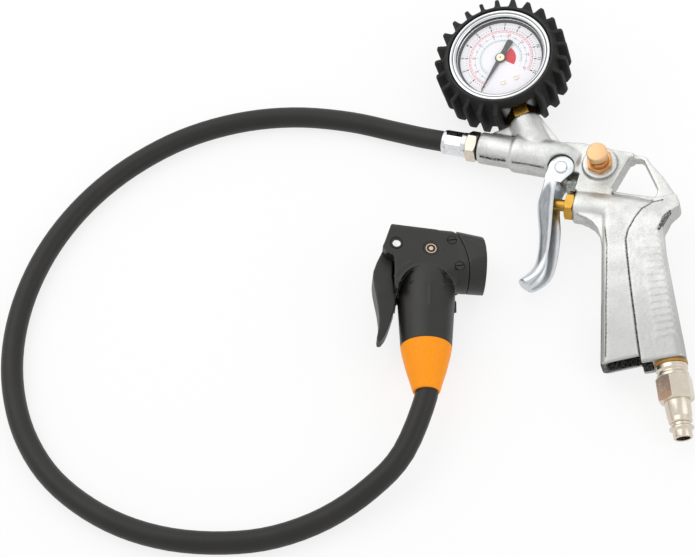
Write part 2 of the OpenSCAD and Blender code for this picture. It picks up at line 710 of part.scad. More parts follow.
// Points along the hose's middle, from the ferrule to the collar
hose_route = [
    [38.8, 93.4, 8.6], [22.7, 99.2, 6.7], [-1.5, 106.2, 6.1], [-29.7, 109.8, 6.1],
    [-56.2, 108.4, 6.1], [-81.8, 102.2, 6.1], [-105.9, 91.4, 6.1], [-129, 75, 6.1],
    [-148, 55.6, 6.1], [-163, 33.4, 6.1], [-173.6, 9.6, 6.1], [-180.2, -17, 6.1],
    [-181.8, -44, 6.1], [-178.2, -70, 6.1], [-169, -95.6, 6.1], [-154, -118, 6.1],
    [-134.4, -135, 6.1], [-111, -147.6, 6.1], [-85, -154.8, 6.1], [-57, -156.4, 6.1],
    [-31.4, -152.8, 6.1], [-6, -142.6, 6.8], [16.6, -127.6, 11], [33.4, -109.6, 16.1]];

module air_hose() color("black") translate(part_at) hose_sweep();

// Unit vector of v
function unit(v) = v / norm(v);
// Rotation of vector v by a gun or chuck turn
function turn_x(v, a) = [v.x, v.y * cos(a) - v.z * sin(a), v.y * sin(a) + v.z * cos(a)];
function turn_y(v, a) = [v.x * cos(a) + v.z * sin(a), v.y, -v.x * sin(a) + v.z * cos(a)];
function turn_z(v, a) = [v.x * cos(a) - v.y * sin(a), v.x * sin(a) + v.y * cos(a), v.z];
function turned(v, t) = turn_z(turn_y(turn_x(v, t.x), t.y), t.z);
function in_gun(p) = gun_at + turned(p, gun_turn);
function in_chuck(p) = chuck_at + turned(p, chuck_turn);

hose_start = in_gun([ferrule_back - 12.5, barrel_y, 0]);
hose_lead = in_gun([ferrule_back - ferrule_length - 2, barrel_y, 0]);
hose_end = in_chuck([0, collar_end + 12, 0]);
hose_tail_out = in_chuck([0, collar_end - 2, 0]);

function route() = concat([hose_start, hose_lead], hose_route, [hose_tail_out, hose_end]);
// Catmull-Rom point between b and c
function spline(a, b, c, d, t) = 0.5 * (2 * b + (c - a) * t + (2 * a - 5 * b + 4 * c - d) * t * t
    + (3 * b - a - 3 * c + d) * t * t * t);
function fine(p, n) = concat([for (i = [0 : len(p) - 2], j = [0 : n - 1])
    spline(p[max(i - 1, 0)], p[i], p[i + 1], p[min(i + 2, len(p) - 1)], j / n)], [p[len(p) - 1]]);
function tangent(p, i) = unit(p[min(i + 1, len(p) - 1)] - p[max(i - 1, 0)]);
function side_of(t) = unit(cross([0, 0, 1], t));
hose_sides = 12;
function ring(p, i, r) = let (t = tangent(p, i), s = side_of(t), u = cross(t, s))
    [for (k = [0 : hose_sides - 1]) p[i] + r * cos(k * 360 / hose_sides) * s + r * sin(k * 360 / hose_sides) * u];

module hose_sweep() {
    p = fine(route(), 2);
    n = len(p);
    r = hose_dia / 2;
    pts = [for (i = [0 : n - 1]) each ring(p, i, r)];
    polyhedron(pts, concat(
        [[for (k = [0 : hose_sides - 1]) k]],
        [[for (k = [hose_sides - 1 : -1 : 0]) (n - 1) * hose_sides + k]],
        [for (i = [0 : n - 2], k = [0 : hose_sides - 1]) [i * hose_sides + k,
            (i + 1) * hose_sides + k, (i + 1) * hose_sides + (k + 1) % hose_sides,
            i * hose_sides + (k + 1) % hose_sides]]));
}

// ---- Chuck ----

module nose_line() translate([0, nose_y, 0]) rotate([0, 90, 0]) children();

module head_outline() {
    polygon([[-19.8, 38.2], [-18.4, head_top - 0.3], [5, head_top], [5, 2], [-12, -3],
        [-17.3, -0.6], [-17.9, 3.2], [-17.8, 15], [-18.4, 19.4], [-22.3, 21.4], [-24.5, 24.9],
        [-22, 31.9]]);
}

// Section of the head with rounded top edges, its height along local y
module head_section(low) {
    translate([-head_width / 2 + head_r, low]) square([head_width - 2 * head_r, head_top - low]);
    translate([-head_width / 2, low]) square([head_width, head_top - head_r - low]);
    for (s = [-1, 1]) translate([s * (head_width / 2 - head_r), head_top - head_r]) circle(head_r);
}

// Round section of the nose, with flats in line with the head's sides
module nose_section(r, half) intersection() {
    circle(r);
    square([2 * half, 4 * r], center = true);
}

module slice(x, y) translate([x, y, 0]) rotate([0, 90, 0]) linear_extrude(0.02) children();

module head_shape() {
    intersection() {
        plate(head_width) head_outline();
        rotate([0, 90, 0]) translate([0, 0, -40]) linear_extrude(80) head_section(-20);
    }
    hull() {
        slice(4, 0) head_section(8);
        slice(nose_root.x, nose_root.y) nose_section(nose_root_r, head_width / 2);
    }
    nose_shape();
}

module nose_shape() hull() {
    slice(nose_root.x, nose_root.y) nose_section(nose_root_r, head_width / 2);
    slice(nose_end + 0.6, nose_y - nose_drop) circle(nose_dia / 2);
}

// Sleeve that runs down to the collar, its upper end under the head's arch
module sleeve_shape() {
    rotate([-90, 0, 0]) rotate_extrude() polygon([
        [0, -29], [13.7, -29], [sleeve_dia / 2, 2], [sleeve_dia / 2, 4.2],
        [sleeve_dia / 2 - 0.3, 9], [sleeve_dia / 2 - 1, 14], [sleeve_dia / 2 - 3, 16.6], [0, 17]]);
    translate([sleeve_dia / 2 - 0.6, -6.7, -0.6]) cube([1.3, 7, 1.2]);
}

module seam_side(gap_r) translate([seam_at.x, seam_at.y, -40]) cylinder(h = 80, r = seam_r + gap_r, $fn = 128);

module chuck_body() color([0.2, 0.2, 0.19]) place_chuck() difference() {
    union() {
        difference() {
            intersection() {
                head_shape();
                seam_side(0);
            }
            translate([arch_at.x, arch_at.y, -40]) cylinder(h = 80, r = arch_r);
        }
        sleeve_shape();
    }
    // slot for the lever's head
    plate(lever_width + 2 * gap) {
        translate(lever_pin_at) circle(9);
        polygon([[-40, 50], [-40, -2], [-16.3, -2], [-16, 12], [-10, 20], [-9.4, 36], [-16, 50]]);
    }
    // nose chamber, plunger bore and air way
    nose_line() translate([0, 0, 4]) cylinder(h = 30, r = 11);
    nose_line() translate([0, 0, -12]) cylinder(h = 30, r = 5 + fit);
    rotate([-90, 0, 0]) translate([0, 0, -40]) cylinder(h = 64, r = 3);
    rotate([-90, 0, 0]) translate([0, 0, -30]) cylinder(h = 14, r = 10.4 + fit);
    // lever pin holes and their shallow rings
    translate([lever_pin_at.x, lever_pin_at.y, -20]) cylinder(h = 40, r = 2.2 + fit);
    for (s = [-1, 1]) translate([lever_pin_at.x, lever_pin_at.y, s * (head_width / 2 + 0.5)])
        cylinder(h = 3, r = 3.4, center = true);
    // badge seat
    translate([badge_at.x, badge_at.y, head_width / 2 - 0.6]) cylinder(h = 2, r = 4.4);
    // screw seats
    for (p = screw_at, s = [-1, 1]) translate([p.x, p.y, s * (head_width / 2)])
        cylinder(h = 2.4, r = 2.6, center = true);
}

module nose_cap() color([0.2, 0.2, 0.19]) place_chuck() difference() {
    intersection() {
        nose_shape();
        translate([end_at.x, end_at.y, -40]) cylinder(h = 80, r = end_r, $fn = 128);
    }
    seam_side(0.15);
    nose_line() translate([0, 0, 4]) cylinder(h = nose_end - 8, r = 11);
    nose_line() cylinder(h = 60, r = 6.2);
}

module nose_grommet() color("black") place_chuck() nose_line() difference() {
    union() {
        translate([0, 0, 15]) cylinder(h = nose_end - 4 - 15 - 0.05, r = 10.8);
        translate([0, 0, 20]) cylinder(h = nose_end - 20.6, r = 6.1);
    }
    cylinder(h = 60, r = valve_bore / 2);
}

module chuck_plunger() color("dimgray") place_chuck() nose_line() difference() {
    union() {
        translate([0, 0, lever_pin_at.x + cam_low + gap]) cylinder(h = 18, r = 5);
        translate([0, 0, 6]) cylinder(h = 7.2, r = 10.6);
    }
    translate([0, 0, 4]) cylinder(h = 30, r = 2.6);
}

// Cam that pushes the plunger by clamp_stroke as the lever is lifted
module lever_cam() translate(lever_pin_at) {
    circle(cam_low);
    polygon(concat([[0, 0]], [for (a = [0 : 15 : 90])
        (cam_low + clamp_stroke * a / 90) * [cos(a), sin(a)]], [[-2.4, cam_low - 0.2]]));
}

module chuck_lever() color([0.17, 0.17, 0.16]) place_chuck() difference() {
    intersection() {
        plate(lever_width) union() {
            polygon([[-17, 33.2], [-20.4, 31.8], [-22.4, 28.8], [-24.6, 25], [-27.2, 18.6], [-29, 12.8],
                [-29.1, 9.6], [-28.6, 5], [-27.3, -2], [-26.2, -9], [-25.5, -16], [-25.5, -22.6],
                [-26.4, -28], [-26.3, -30.2], [-25.2, -31], [-23.8, -30], [-22, -26.6], [-20.3, -21.4],
                [-18.8, -15.4], [-17.5, -9.6], [-17, -5], [-17.2, 0], [-17.8, 5], [-18.6, 10], [-18.4, 19.6],
                [-13.4, 22], [-12, 27], [-13.6, 31.4]]);
            lever_cam();
        }
        rotate([0, 90, 0]) translate([0, 0, -40]) linear_extrude(60) polygon([
            [-lever_width / 2, 40], [-lever_width / 2, 0], [-5.4, -24], [-3.8, -31.4], [3.8, -31.4],
            [5.4, -24], [lever_width / 2, 0], [lever_width / 2, 40]]);
    }
    translate([lever_pin_at.x, lever_pin_at.y, -20]) cylinder(h = 40, r = 2.2 + fit);
}

module lever_pin() color("white") place_chuck() translate([lever_pin_at.x, lever_pin_at.y, 0])
    cylinder(h = head_width - 1, r = 2.2, center = true);

module pin_rings() color([0.2, 0.2, 0.19]) place_chuck() for (s = [-1, 1])
    translate([lever_pin_at.x, lever_pin_at.y, s * (head_width / 2 - 0.35)]) difference() {
        cylinder(h = 1.2, r = 3.35, center = true);
        cylinder(h = 3, r = 2.25, center = true);
    }

module nose_screws() color([0.15, 0.15, 0.15]) place_chuck() for (p = screw_at, s = [-1, 1])
    translate([p.x, p.y, s * (head_width / 2 - 0.55)]) difference() {
        cylinder(h = 1.2, r = 2.5, center = true);
        translate([0, 0, s * 0.6]) rotate([0, 0, 10]) cube([6, 0.7, 0.7], center = true);
    }

module badge_disc() color("black") place_chuck() translate([badge_at.x, badge_at.y, head_width / 2 - 0.55])
    cylinder(h = 0.8, r = 4.3);

module chuck_collar() color("orange") place_chuck() rotate([-90, 0, 0]) difference() {
    rotate_extrude() polygon([
        [0, collar_end], [6.9, collar_end], [7.3, collar_end + 0.6], [8.8, -49], [10.6, -43],
        [12.1, -37], [13, -33], [collar_dia / 2, -29.1], [10.4, -29.1], [10.4, -17], [0, -17]]);
    translate([0, 0, collar_end - 1]) cylinder(h = 24, r = hose_dia / 2 + fit);
    translate([0, 0, -60]) cylinder(h = 60, r = 3);
}

module chuck_tail() color("gold") place_chuck() rotate([-90, 0, 0])
    translate([0, 0, collar_end + 13]) difference() {
        union() {
            for (i = [0 : 2]) translate([0, 0, i * 2.6])
                cylinder(h = 2.6, r2 = hose_bore / 2 - 0.7, r1 = hose_bore / 2 - 0.05);
            translate([0, 0, 7]) cylinder(h = 22, r = hose_bore / 2 - 0.05);
        }
        translate([0, 0, -1]) cylinder(h = 40, r = 1.6);
    }

pistol_body();
trigger_lever();
trigger_pin();
gland_nut();
valve_plunger();
valve_seal();
valve_spring();
passage_plug();
button_seat();
deflate_button();
button_spring();
gauge_connector();
gauge_case();
gauge_bezel();
gauge_rim();
gauge_lens();
gauge_dial();
gauge_pointer();
dial_screws();
bourdon_tube();
gauge_movement();
rubber_boot();
inlet_washer();
inlet_plug();
hose_seal();
hose_nut();
hose_ferrule();
hose_tail();
air_hose();
chuck_collar();
chuck_tail();
chuck_body();
nose_cap();
nose_grommet();
chuck_plunger();
chuck_lever();
lever_pin();
pin_rings();
nose_screws();
badge_disc();
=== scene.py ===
"""Portable tire inflator on a pale floor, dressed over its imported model.

The pieces are grouped as the real tool is: casting, trigger, valve, gauge, boot,
hose, inlet plug and chuck. Work sizes are millimetres in the frame of the pistol
or of the chuck; a finished mesh is placed in metres.
"""

import math

import bmesh
import bpy
import numpy as np
from mathutils import Euler, Matrix, Vector, noise


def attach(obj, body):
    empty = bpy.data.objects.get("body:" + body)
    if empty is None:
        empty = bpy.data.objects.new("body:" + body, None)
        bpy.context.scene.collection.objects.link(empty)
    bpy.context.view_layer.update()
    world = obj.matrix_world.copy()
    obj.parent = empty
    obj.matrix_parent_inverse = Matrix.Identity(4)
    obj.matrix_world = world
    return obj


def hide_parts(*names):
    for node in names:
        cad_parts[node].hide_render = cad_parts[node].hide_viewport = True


bl_info = {
    "name": "Portable Tire Inflator",
    "version": (1, 0, 0),
    "blender": (4, 5, 0),
    "location": "View3D > Sidebar > Inflator",
    "description": "Builds and finishes the pieces of a hand-held tire inflator",
    "category": "Object",
}

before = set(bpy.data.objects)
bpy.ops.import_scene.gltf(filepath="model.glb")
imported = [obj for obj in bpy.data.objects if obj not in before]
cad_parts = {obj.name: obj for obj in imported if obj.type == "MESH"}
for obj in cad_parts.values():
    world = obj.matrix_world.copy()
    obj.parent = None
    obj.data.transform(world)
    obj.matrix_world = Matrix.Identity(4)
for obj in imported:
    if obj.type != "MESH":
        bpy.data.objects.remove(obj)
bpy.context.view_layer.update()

# ---- Frames of the tool's parts, millimetres to metres ----

PART_AT = Vector((-98.7, -35.39, 0))
TO_METRES = Matrix.Diagonal((0.001, 0.001, 0.001, 1))


def lying(at, turn):
    """Frame of a group that lies on the floor, from its place and its three turns."""
    turns = Euler([math.radians(angle) for angle in turn], "XYZ").to_matrix().to_4x4()
    return TO_METRES @ Matrix.Translation(PART_AT + Vector(at)) @ turns


def shifted(x, y, z=0):
    return Matrix.Translation((x, y, z))


def turned(angle, axis):
    return Matrix.Rotation(math.radians(angle), 4, axis)


GUN_AT, GUN_TURN = (121.57, 66.63, 21.65), (10.5, -8.2, -17.9)
CHUCK_AT, CHUCK_TURN = (43.9, -21.81, 19.22), (0, 6.3, 0.9)
GUN = lying(GUN_AT, GUN_TURN)
CHUCK = lying(CHUCK_AT, CHUCK_TURN)
GAUGE = GUN @ shifted(-51.605, 51.898) @ turned(34, "Z")
BARREL = GUN @ shifted(0, -0.4) @ turned(90, "Y")
TUBE = GUN @ shifted(12, -26) @ turned(4, "Z") @ turned(90, "Y")
PORT = GUN @ shifted(84.7, -103.9) @ turned(22.6, "Z") @ turned(90, "X")
BUTTON = GUN @ shifted(20.4, -1)
SLEEVE = CHUCK @ turned(-90, "X")


# ---- Sizes and colours that a user would change ----

def paint(code):
    """Linear colour from a written one, such as ff9c1a."""
    levels = [int(code[i:i + 2], 16) / 255 for i in (0, 2, 4)]
    return tuple(v / 12.92 if v <= 0.04045 else ((v + 0.055) / 1.055) ** 2.4 for v in levels) + (1.0,)


def length(name, description, default, low, high):
    return bpy.props.FloatProperty(name=name, description=description, default=default,
                                   min=low, max=high, unit="LENGTH", precision=5)


def colour(name, description, code):
    return bpy.props.FloatVectorProperty(name=name, description=description, subtype="COLOR",
                                         size=4, min=0, max=1, default=paint(code))


class InflatorSizes(bpy.types.PropertyGroup):
    hose_diameter: length("Hose diameter", "Outside diameter of the rubber hose", 0.012, 0.010, 0.014)
    casting_softness: length("Casting softness", "Size of the cells that round the casting's edges",
                             0.00062, 0.0006, 0.0012)
    dial_radius: length("Scale radius", "Radius of the outer scale's tick ends", 0.0192, 0.015, 0.022)
    dial_steps: bpy.props.IntProperty(name="Scale steps", description="Numbered steps on the outer scale",
                                      default=12, min=6, max=16)


class InflatorColours(bpy.types.PropertyGroup):
    aluminium: colour("Casting", "Bare die-cast aluminium", "dbdcd9")
    zinc: colour("Trigger", "Zinc-plated steel sheet", "d9dde0")
    brass: colour("Brass", "Bare brass of the valve fittings", "c79a45")
    cap: colour("Button cap", "Copper-toned cap of the deflate button", "f4c796")
    nickel: colour("Nickel", "Nickel plating of the inlet plug and hose nut", "d8cec0")
    chrome: colour("Chrome", "Bezel ring and ferrule", "e2e4e6")
    boot: colour("Boot", "Rubber boot around the gauge", "191918")
    hose: colour("Hose", "Rubber hose", "191815")
    plastic: colour("Chuck", "Moulded plastic of the chuck", "1a1916")
    collar: colour("Collar", "Moulded collar between chuck and hose", "ff9a18")
    dial: colour("Dial", "Printed sheet of the gauge", "f9f7fb")
    ink: colour("Scale ink", "Ink of the outer scale", "2a2c33")
    ring_ink: colour("Second ink", "Ink of the second scale", "e88089")
    inner_ink: colour("Inner ink", "Ink of the inner scale", "a6cfca")
    sector: colour("Sector", "Painted sector of the dial", "e4333c")


# ---- Meshes ----

def spun(profile, steps=96, angle=360):
    """Turned solid about z, from its (radius, height) points."""
    bm = bmesh.new()
    points = [bm.verts.new((r, 0, z)) for r, z in profile]
    lines = [bm.edges.new(pair) for pair in zip(points, points[1:])]
    bmesh.ops.spin(bm, geom=points + lines, cent=(0, 0, 0), axis=(0, 0, 1), steps=steps,
                   angle=math.radians(angle), use_merge=True, use_duplicate=False)
    bmesh.ops.remove_doubles(bm, verts=bm.verts, dist=1e-4)
    bmesh.ops.recalc_face_normals(bm, faces=bm.faces)
    return bm


def flatted(bm, flats, sides=6, turn=0.0):
    """Mills flats on a turned solid, as on bar stock that is chamfered before it."""
    for k in range(sides):
        angle = math.radians(turn) + k * 2 * math.pi / sides
        out = Vector((math.cos(angle), math.sin(angle), 0))
        cut = bmesh.ops.bisect_plane(bm, geom=bm.verts[:] + bm.edges[:] + bm.faces[:], dist=1e-5,
                                     plane_co=out * flats / 2, plane_no=out, clear_outer=True)
        rim = [g for g in cut["geom_cut"] if isinstance(g, bmesh.types.BMEdge)]
        bmesh.ops.holes_fill(bm, edges=rim, sides=0)
    bmesh.ops.recalc_face_normals(bm, faces=bm.faces)
    return bm


def sawn(outline, thickness, base=0.0):
    """Sheet cut to an outline and given its thickness along z."""
    bm = bmesh.new()
    face = bm.faces.new([bm.verts.new((x, y, base)) for x, y in outline])
    grown = bmesh.ops.extrude_face_region(bm, geom=[face], use_keep_orig=True)
    bmesh.ops.translate(bm, vec=(0, 0, thickness),
                        verts=[g for g in grown["geom"] if isinstance(g, bmesh.types.BMVert)])
    bmesh.ops.recalc_face_normals(bm, faces=bm.faces)
    return bm


def joined(*parts):
    """One mesh from several separate solids."""
    whole = parts[0]
    for part in parts[1:]:
        mesh = bpy.data.meshes.new("part")
        part.to_mesh(mesh)
        part.free()
        whole.from_mesh(mesh)
        bpy.data.meshes.remove(mesh)
    return whole


def moved(bm, matrix):
    bmesh.ops.transform(bm, matrix=matrix, verts=bm.verts)
    return bm


def cad_copy(node, place):
    """A merged copy of a CAD node's mesh, in the millimetres of a frame."""
    bm = bmesh.new()
    bm.from_mesh(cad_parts[node].data)
    bmesh.ops.remove_doubles(bm, verts=bm.verts, dist=1e-7)
    return moved(bm, place.inverted())


def taken(holder):
    """The finished mesh of a helper object, which is then removed with its data."""
    ready = holder.evaluated_get(bpy.context.evaluated_depsgraph_get())
    bm = bmesh.new()
    bm.from_mesh(ready.to_mesh())
    ready.to_mesh_clear()
    data = holder.data
    bpy.data.objects.remove(holder)
    if isinstance(data, bpy.types.Mesh):
        bpy.data.meshes.remove(data)
    else:
        bpy.data.curves.remove(data)
    return bm


def remade(bm, cell, passes):
    """The same solid in even cells, its edges rounded by smoothing."""
    mesh = bpy.data.meshes.new("cells")
    bm.to_mesh(mesh)
    bm.free()
    holder = bpy.data.objects.new("cells", mesh)
    bpy.context.scene.collection.objects.link(holder)
    cells = holder.modifiers.new("cells", "REMESH")
    cells.mode = "VOXEL"
    cells.voxel_size = cell
    soft = holder.modifiers.new("soft", "SMOOTH")
    soft.factor = 0.5
    soft.iterations = passes
    return taken(holder)


def hollows(mesh):
    """Stores how far each point lies in a crease (above 0) or on an edge (below 0)."""
    count = len(mesh.vertices)
    spots, out = np.empty(count * 3), np.empty(count * 3)
    ends = np.empty(len(mesh.edges) * 2, dtype=int)
    mesh.vertices.foreach_get("co", spots)
    mesh.edges.foreach_get("vertices", ends)
    mesh.vertices.foreach_get("normal", out)
    spots, out, (a, b) = spots.reshape(-1, 3), out.reshape(-1, 3), ends.reshape(-1, 2).T
    run = spots[b] - spots[a]
    run /= np.maximum(np.linalg.norm(run, axis=1), 1e-9)[:, None]
    links = np.maximum(np.bincount(a, minlength=count) + np.bincount(b, minlength=count), 1)
    level = (np.bincount(a, (out[a] * run).sum(1), count)
             - np.bincount(b, (out[b] * run).sum(1), count)) / links
    for _ in range(2):
        around = (np.bincount(a, level[b], count) + np.bincount(b, level[a], count)) / links
        level = (level + around) / 2
    mesh.attributes.new("hollow", "FLOAT", "POINT").data.foreach_set("value", level)


# Lines of painted shade on the casting, where its ledges, grooves and rounded edges fall dark,
# in the pistol's x and y: along the grip's raised half, down the channel's front, on the
# barrel's ledge and behind the tang, each with its lowest height and its half width
SHADE_LINES = [
    ([(59.4, -15.7), (54.4, -18.2), (50.1, -23.7), (47.6, -30.4), (45.9, -37.7), (46, -43.1),
      (48.6, -51), (53.2, -63.7), (57.9, -76.2), (61.9, -86.2), (66.6, -98.7), (70.9, -109.5)], 5.0, 0.55),
    ([(33, -38.2), (36.7, -48.1), (40.9, -64.8), (44.9, -81.3), (49.1, -97.5), (52.2, -110.4)], 6.5, 0.42),
    ([(-48, -7.9), (-41, -8.1), (-33, -7.9)], 3.5, 0.42),
    ([(-28, -8.9), (-20, -8.7), (-10, -8.9)], 4.5, 0.42),
    ([(65, -22), (62.6, -27), (61.8, -34)], 3.0, 0.8)]
SHADE_LINE_CORE = 1.4
# Outline of the slot in the grip, given painted shade within half its width of the middle plane
SLOT = [(46, -122), (78, -112), (76.4, -107.4), (62.6, -74.1), (58, -72), (46, -72), (42, -80)]
SLOT_HALF = 7.1


def cast_marks(mesh, place):
    """Stores where the casting takes painted shade: along its shade lines, within its slot and on its upright
    walls.
    """
    count = len(mesh.vertices)
    spots, out = np.empty(count * 3), np.empty(count * 3)
    mesh.vertices.foreach_get("co", spots)
    mesh.vertices.foreach_get("normal", out)
    back = np.array(place.inverted())
    x, y, z = (spots.reshape(-1, 3) @ back[:3, :3].T + back[:3, 3]).T
    up = np.array(place.col[2].xyz.normalized())
    mesh.attributes.new("upright", "FLOAT", "POINT").data.foreach_set(
        "value", 1 - np.abs(out.reshape(-1, 3) @ up))
    level = np.zeros(count)
    for line, low, half in SHADE_LINES:
        for (ax, ay), (bx, by) in zip(line, line[1:]):
            run = (bx - ax) ** 2 + (by - ay) ** 2
            t = np.clip(((x - ax) * (bx - ax) + (y - ay) * (by - ay)) / run, 0, 1)
            away = np.hypot(x - ax - t * (bx - ax), y - ay - t * (by - ay))
            level = np.maximum(level, np.where(z > low, np.clip(SHADE_LINE_CORE - away / half, 0, 1), 0))
    within = np.zeros(count, dtype=bool)
    for (ax, ay), (bx, by) in zip(SLOT, SLOT[1:] + SLOT[:1]):
        if ay != by:
            within ^= ((ay > y) != (by > y)) & (x < (bx - ax) * (y - ay) / (by - ay) + ax)
    level[within & (np.abs(z) < SLOT_HALF)] = 1
    # the mark attribute holds painted shade: 1 on the shade lines and inside the slot
    mesh.attributes.new("mark", "FLOAT", "POINT").data.foreach_set("value", level)


def finished(name, bm, place, finish, nodes=(), body="pistol", crease=35, bevel=0.0):
    """Places a mesh in metres, gives it its finish, and lets it ride and stand for its nodes."""
    moved(bm, place)
    mesh = bpy.data.meshes.new(name)
    bm.to_mesh(mesh)
    bm.free()
    mesh.materials.append(finish)
    mesh.shade_smooth()
    if crease < 180:
        mesh.set_sharp_from_angle(angle=math.radians(crease))
    else:
        hollows(mesh)
    piece = bpy.data.objects.new(name, mesh)
    bpy.context.scene.collection.objects.link(piece)
    if bevel:
        edge = piece.modifiers.new("edge", "BEVEL")
        edge.width = bevel * 0.001
        edge.segments = 2
        edge.limit_method = "ANGLE"
        edge.angle_limit = math.radians(crease)
    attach(piece, body)
    if nodes:
        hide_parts(*nodes)
    return piece


def dress(finish, *nodes):
    """Gives CAD nodes that keep their own shape a finish."""
    for node in nodes:
        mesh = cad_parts[node].data
        if not mesh.materials:
            mesh.materials.append(finish)
        for place in range(len(mesh.materials)):
            mesh.materials[place] = finish


# ---- Finishes ----

class Wire:
    """A shader value that takes part in Python arithmetic."""

    def __init__(self, finish, socket):
        self.finish = finish
        self.socket = socket

    def maths(self, operation, *values):
        return self.finish.node("ShaderNodeMath", {"operation": operation}, dict(enumerate(values)))

    def __add__(self, other):
        return self.maths("ADD", self, other)

    def __sub__(self, other):
        return self.maths("SUBTRACT", self, other)

    def __rsub__(self, other):
        return self.maths("SUBTRACT", other, self)

    def __mul__(self, other):
        return self.maths("MULTIPLY", self, other)

    def __pow__(self, other):
        return self.maths("POWER", self, other)

    __radd__ = __add__
    __rmul__ = __mul__

    def rise(self, low, high):
        """0 below low, 1 above high, smooth between them."""
        return self.finish.node("ShaderNodeMapRange", {"interpolation_type": "SMOOTHSTEP"},
                                {0: self, 1: low, 2: high, 3: 0.0, 4: 1.0})

    def near(self, value, reach):
        """1 at a value, falling to 0 at reach from it."""
        return 1 - self.maths("ABSOLUTE", self - value).rise(0.0, reach)


class Finish:
    """A material on the surface shader, with its nodes written as expressions."""

    def __init__(self, name, **constants):
        self.material = bpy.data.materials.new(name)
        self.material.use_nodes = True
        self.tree = self.material.node_tree
        self.shader = self.tree.nodes["Principled BSDF"]
        for socket, value in constants.items():
            self.shader.inputs[socket.replace("_", " ")].default_value = value

    def node(self, kind, settings=None, values=None, out=0):
        made = self.tree.nodes.new(kind)
        for key, value in (settings or {}).items():
            setattr(made, key, value)
        for key, value in (values or {}).items():
            if isinstance(value, Wire):
                self.tree.links.new(value.socket, made.inputs[key])
            else:
                made.inputs[key].default_value = value
        return Wire(self, made.outputs[out])

    def where(self, place):
        """Millimetres in the frame of the pistol or of the chuck."""
        at, turns, _ = place.decompose()
        rest = self.node("ShaderNodeTexCoord", out="Object")
        return self.node("ShaderNodeMapping", {"vector_type": "TEXTURE"},
                         {0: rest, 1: at, 2: turns.to_euler("XYZ"), 3: (0.001,) * 3})

    def parts(self, vector):
        split = self.tree.nodes.new("ShaderNodeSeparateXYZ")
        self.tree.links.new(vector.socket, split.inputs[0])
        return [Wire(self, split.outputs[k]) for k in range(3)]

    def stretched(self, vector, x, y, z):
        return self.node("ShaderNodeVectorMath", {"operation": "MULTIPLY"}, {0: vector, 1: (x, y, z)})

    def noise(self, vector, scale, detail=2.0, rough=0.5):
        return self.node("ShaderNodeTexNoise", {"noise_dimensions": "3D"},
                         {"Vector": vector, "Scale": scale, "Detail": detail, "Roughness": rough})

    def stored(self, name):
        """A level that the mesh keeps at each of its points."""
        return self.node("ShaderNodeAttribute", {"attribute_name": name}, out=2)

    def hollow(self):
        """Above 0 in a crease, below 0 on an edge."""
        return self.stored("hollow")

    def mix(self, share, a, b):
        return self.node("ShaderNodeMix", {"data_type": "RGBA"}, {0: share, 6: a, 7: b}, out=2)

    def feed(self, socket, wire):
        self.tree.links.new(wire.socket, self.shader.inputs[socket])
        return self

    def bump(self, height, depth):
        """Relief of a height of 0 to 1, in millimetres of depth."""
        return self.feed("Normal", self.node("ShaderNodeBump", {}, {
            "Height": height, "Distance": depth * 0.001, "Strength": 1.0}))


def shade(tone, factor):
    """A colour made darker or lighter, kept within range."""
    return tuple(min(1.0, c * factor) for c in tone[:3]) + (1.0,)


def cast_metal(name, tone):
    """Tumbled die casting: satin, grained, with painted shade in its creases, along its shade lines, in its
    slot and on its upright walls, and darker down the grip.
    """
    f = Finish(name, Metallic=1.0)
    at = f.where(GUN)
    grain = f.noise(at, 2.4, 4, 0.7)
    speck = f.noise(at, 1.5, 5, 0.85)
    cloud = f.noise(at, 0.11, 3)
    flow = f.noise(f.stretched(at, 0.5, 1.4, 1.0), 0.3, 3)
    hollow = f.hollow()
    # painted shade: the casting is darkened unevenly in its creases
    crease_shade = hollow.rise(0.035, 0.16) * (0.55 + 0.6 * f.noise(at, 1.1, 3))
    rub = (0 - hollow).rise(0.04, 0.14)
    patch = cloud.rise(0.38, 0.66) * grain.rise(0.3, 0.75)
    pits = speck.rise(0.47, 0.66) * (0.42 - 0.3 * rub)
    # darker towards the grip's lower end
    tone_shift = (0 - f.parts(at)[1]).rise(40, 100)
    skin = f.mix(tone_shift, tone, shade(tone, 0.68))
    skin = f.mix(pits, f.mix(patch, skin, shade(tone, 0.7)), shade(tone, 0.4))
    # painted shade: the casting's upright walls are darkened against its flat faces
    wall = f.stored("upright").rise(0.45, 0.95) * (0.1 + 0.75 * grain.rise(0.3, 0.7))
    # painted shade: near-black along the shade lines and within the slot, read from the mark attribute
    line = f.stored("mark").rise(0.2, 0.85) * (0.3 + 0.7 * f.noise(at, 0.9, 5, 0.85).rise(0.4, 0.56))
    skin = f.mix(wall, skin, shade(tone, 0.42))
    f.feed("Base Color", f.mix(line, f.mix(crease_shade, skin, shade(tone, 0.08)), shade(tone, 0.03)))
    f.feed("Roughness", 0.36 + 0.16 * grain - 0.12 * rub + 0.1 * patch + 0.2 * line)
    return f.bump(grain * 0.3 + flow * 0.7, 0.12).material


def plated(name, tone, place, rough=0.2, wave=0.03, tint=0.88, drawn=(1, 1, 1)):
    """Plated or polished metal with faint drawing marks and uneven gloss."""
    f = Finish(name, Metallic=1.0)
    at = f.where(place)
    marks = f.noise(f.stretched(at, *drawn), 1.6, 4, 0.6)
    cloud = f.noise(at, 0.3, 3)
    f.feed("Base Color", f.mix(cloud.rise(0.3, 0.7), shade(tone, tint), tone))
    f.feed("Roughness", rough * 0.7 + rough * 0.6 * marks + 0.06 * cloud)
    return f.bump(marks * 0.5 + cloud, wave).material


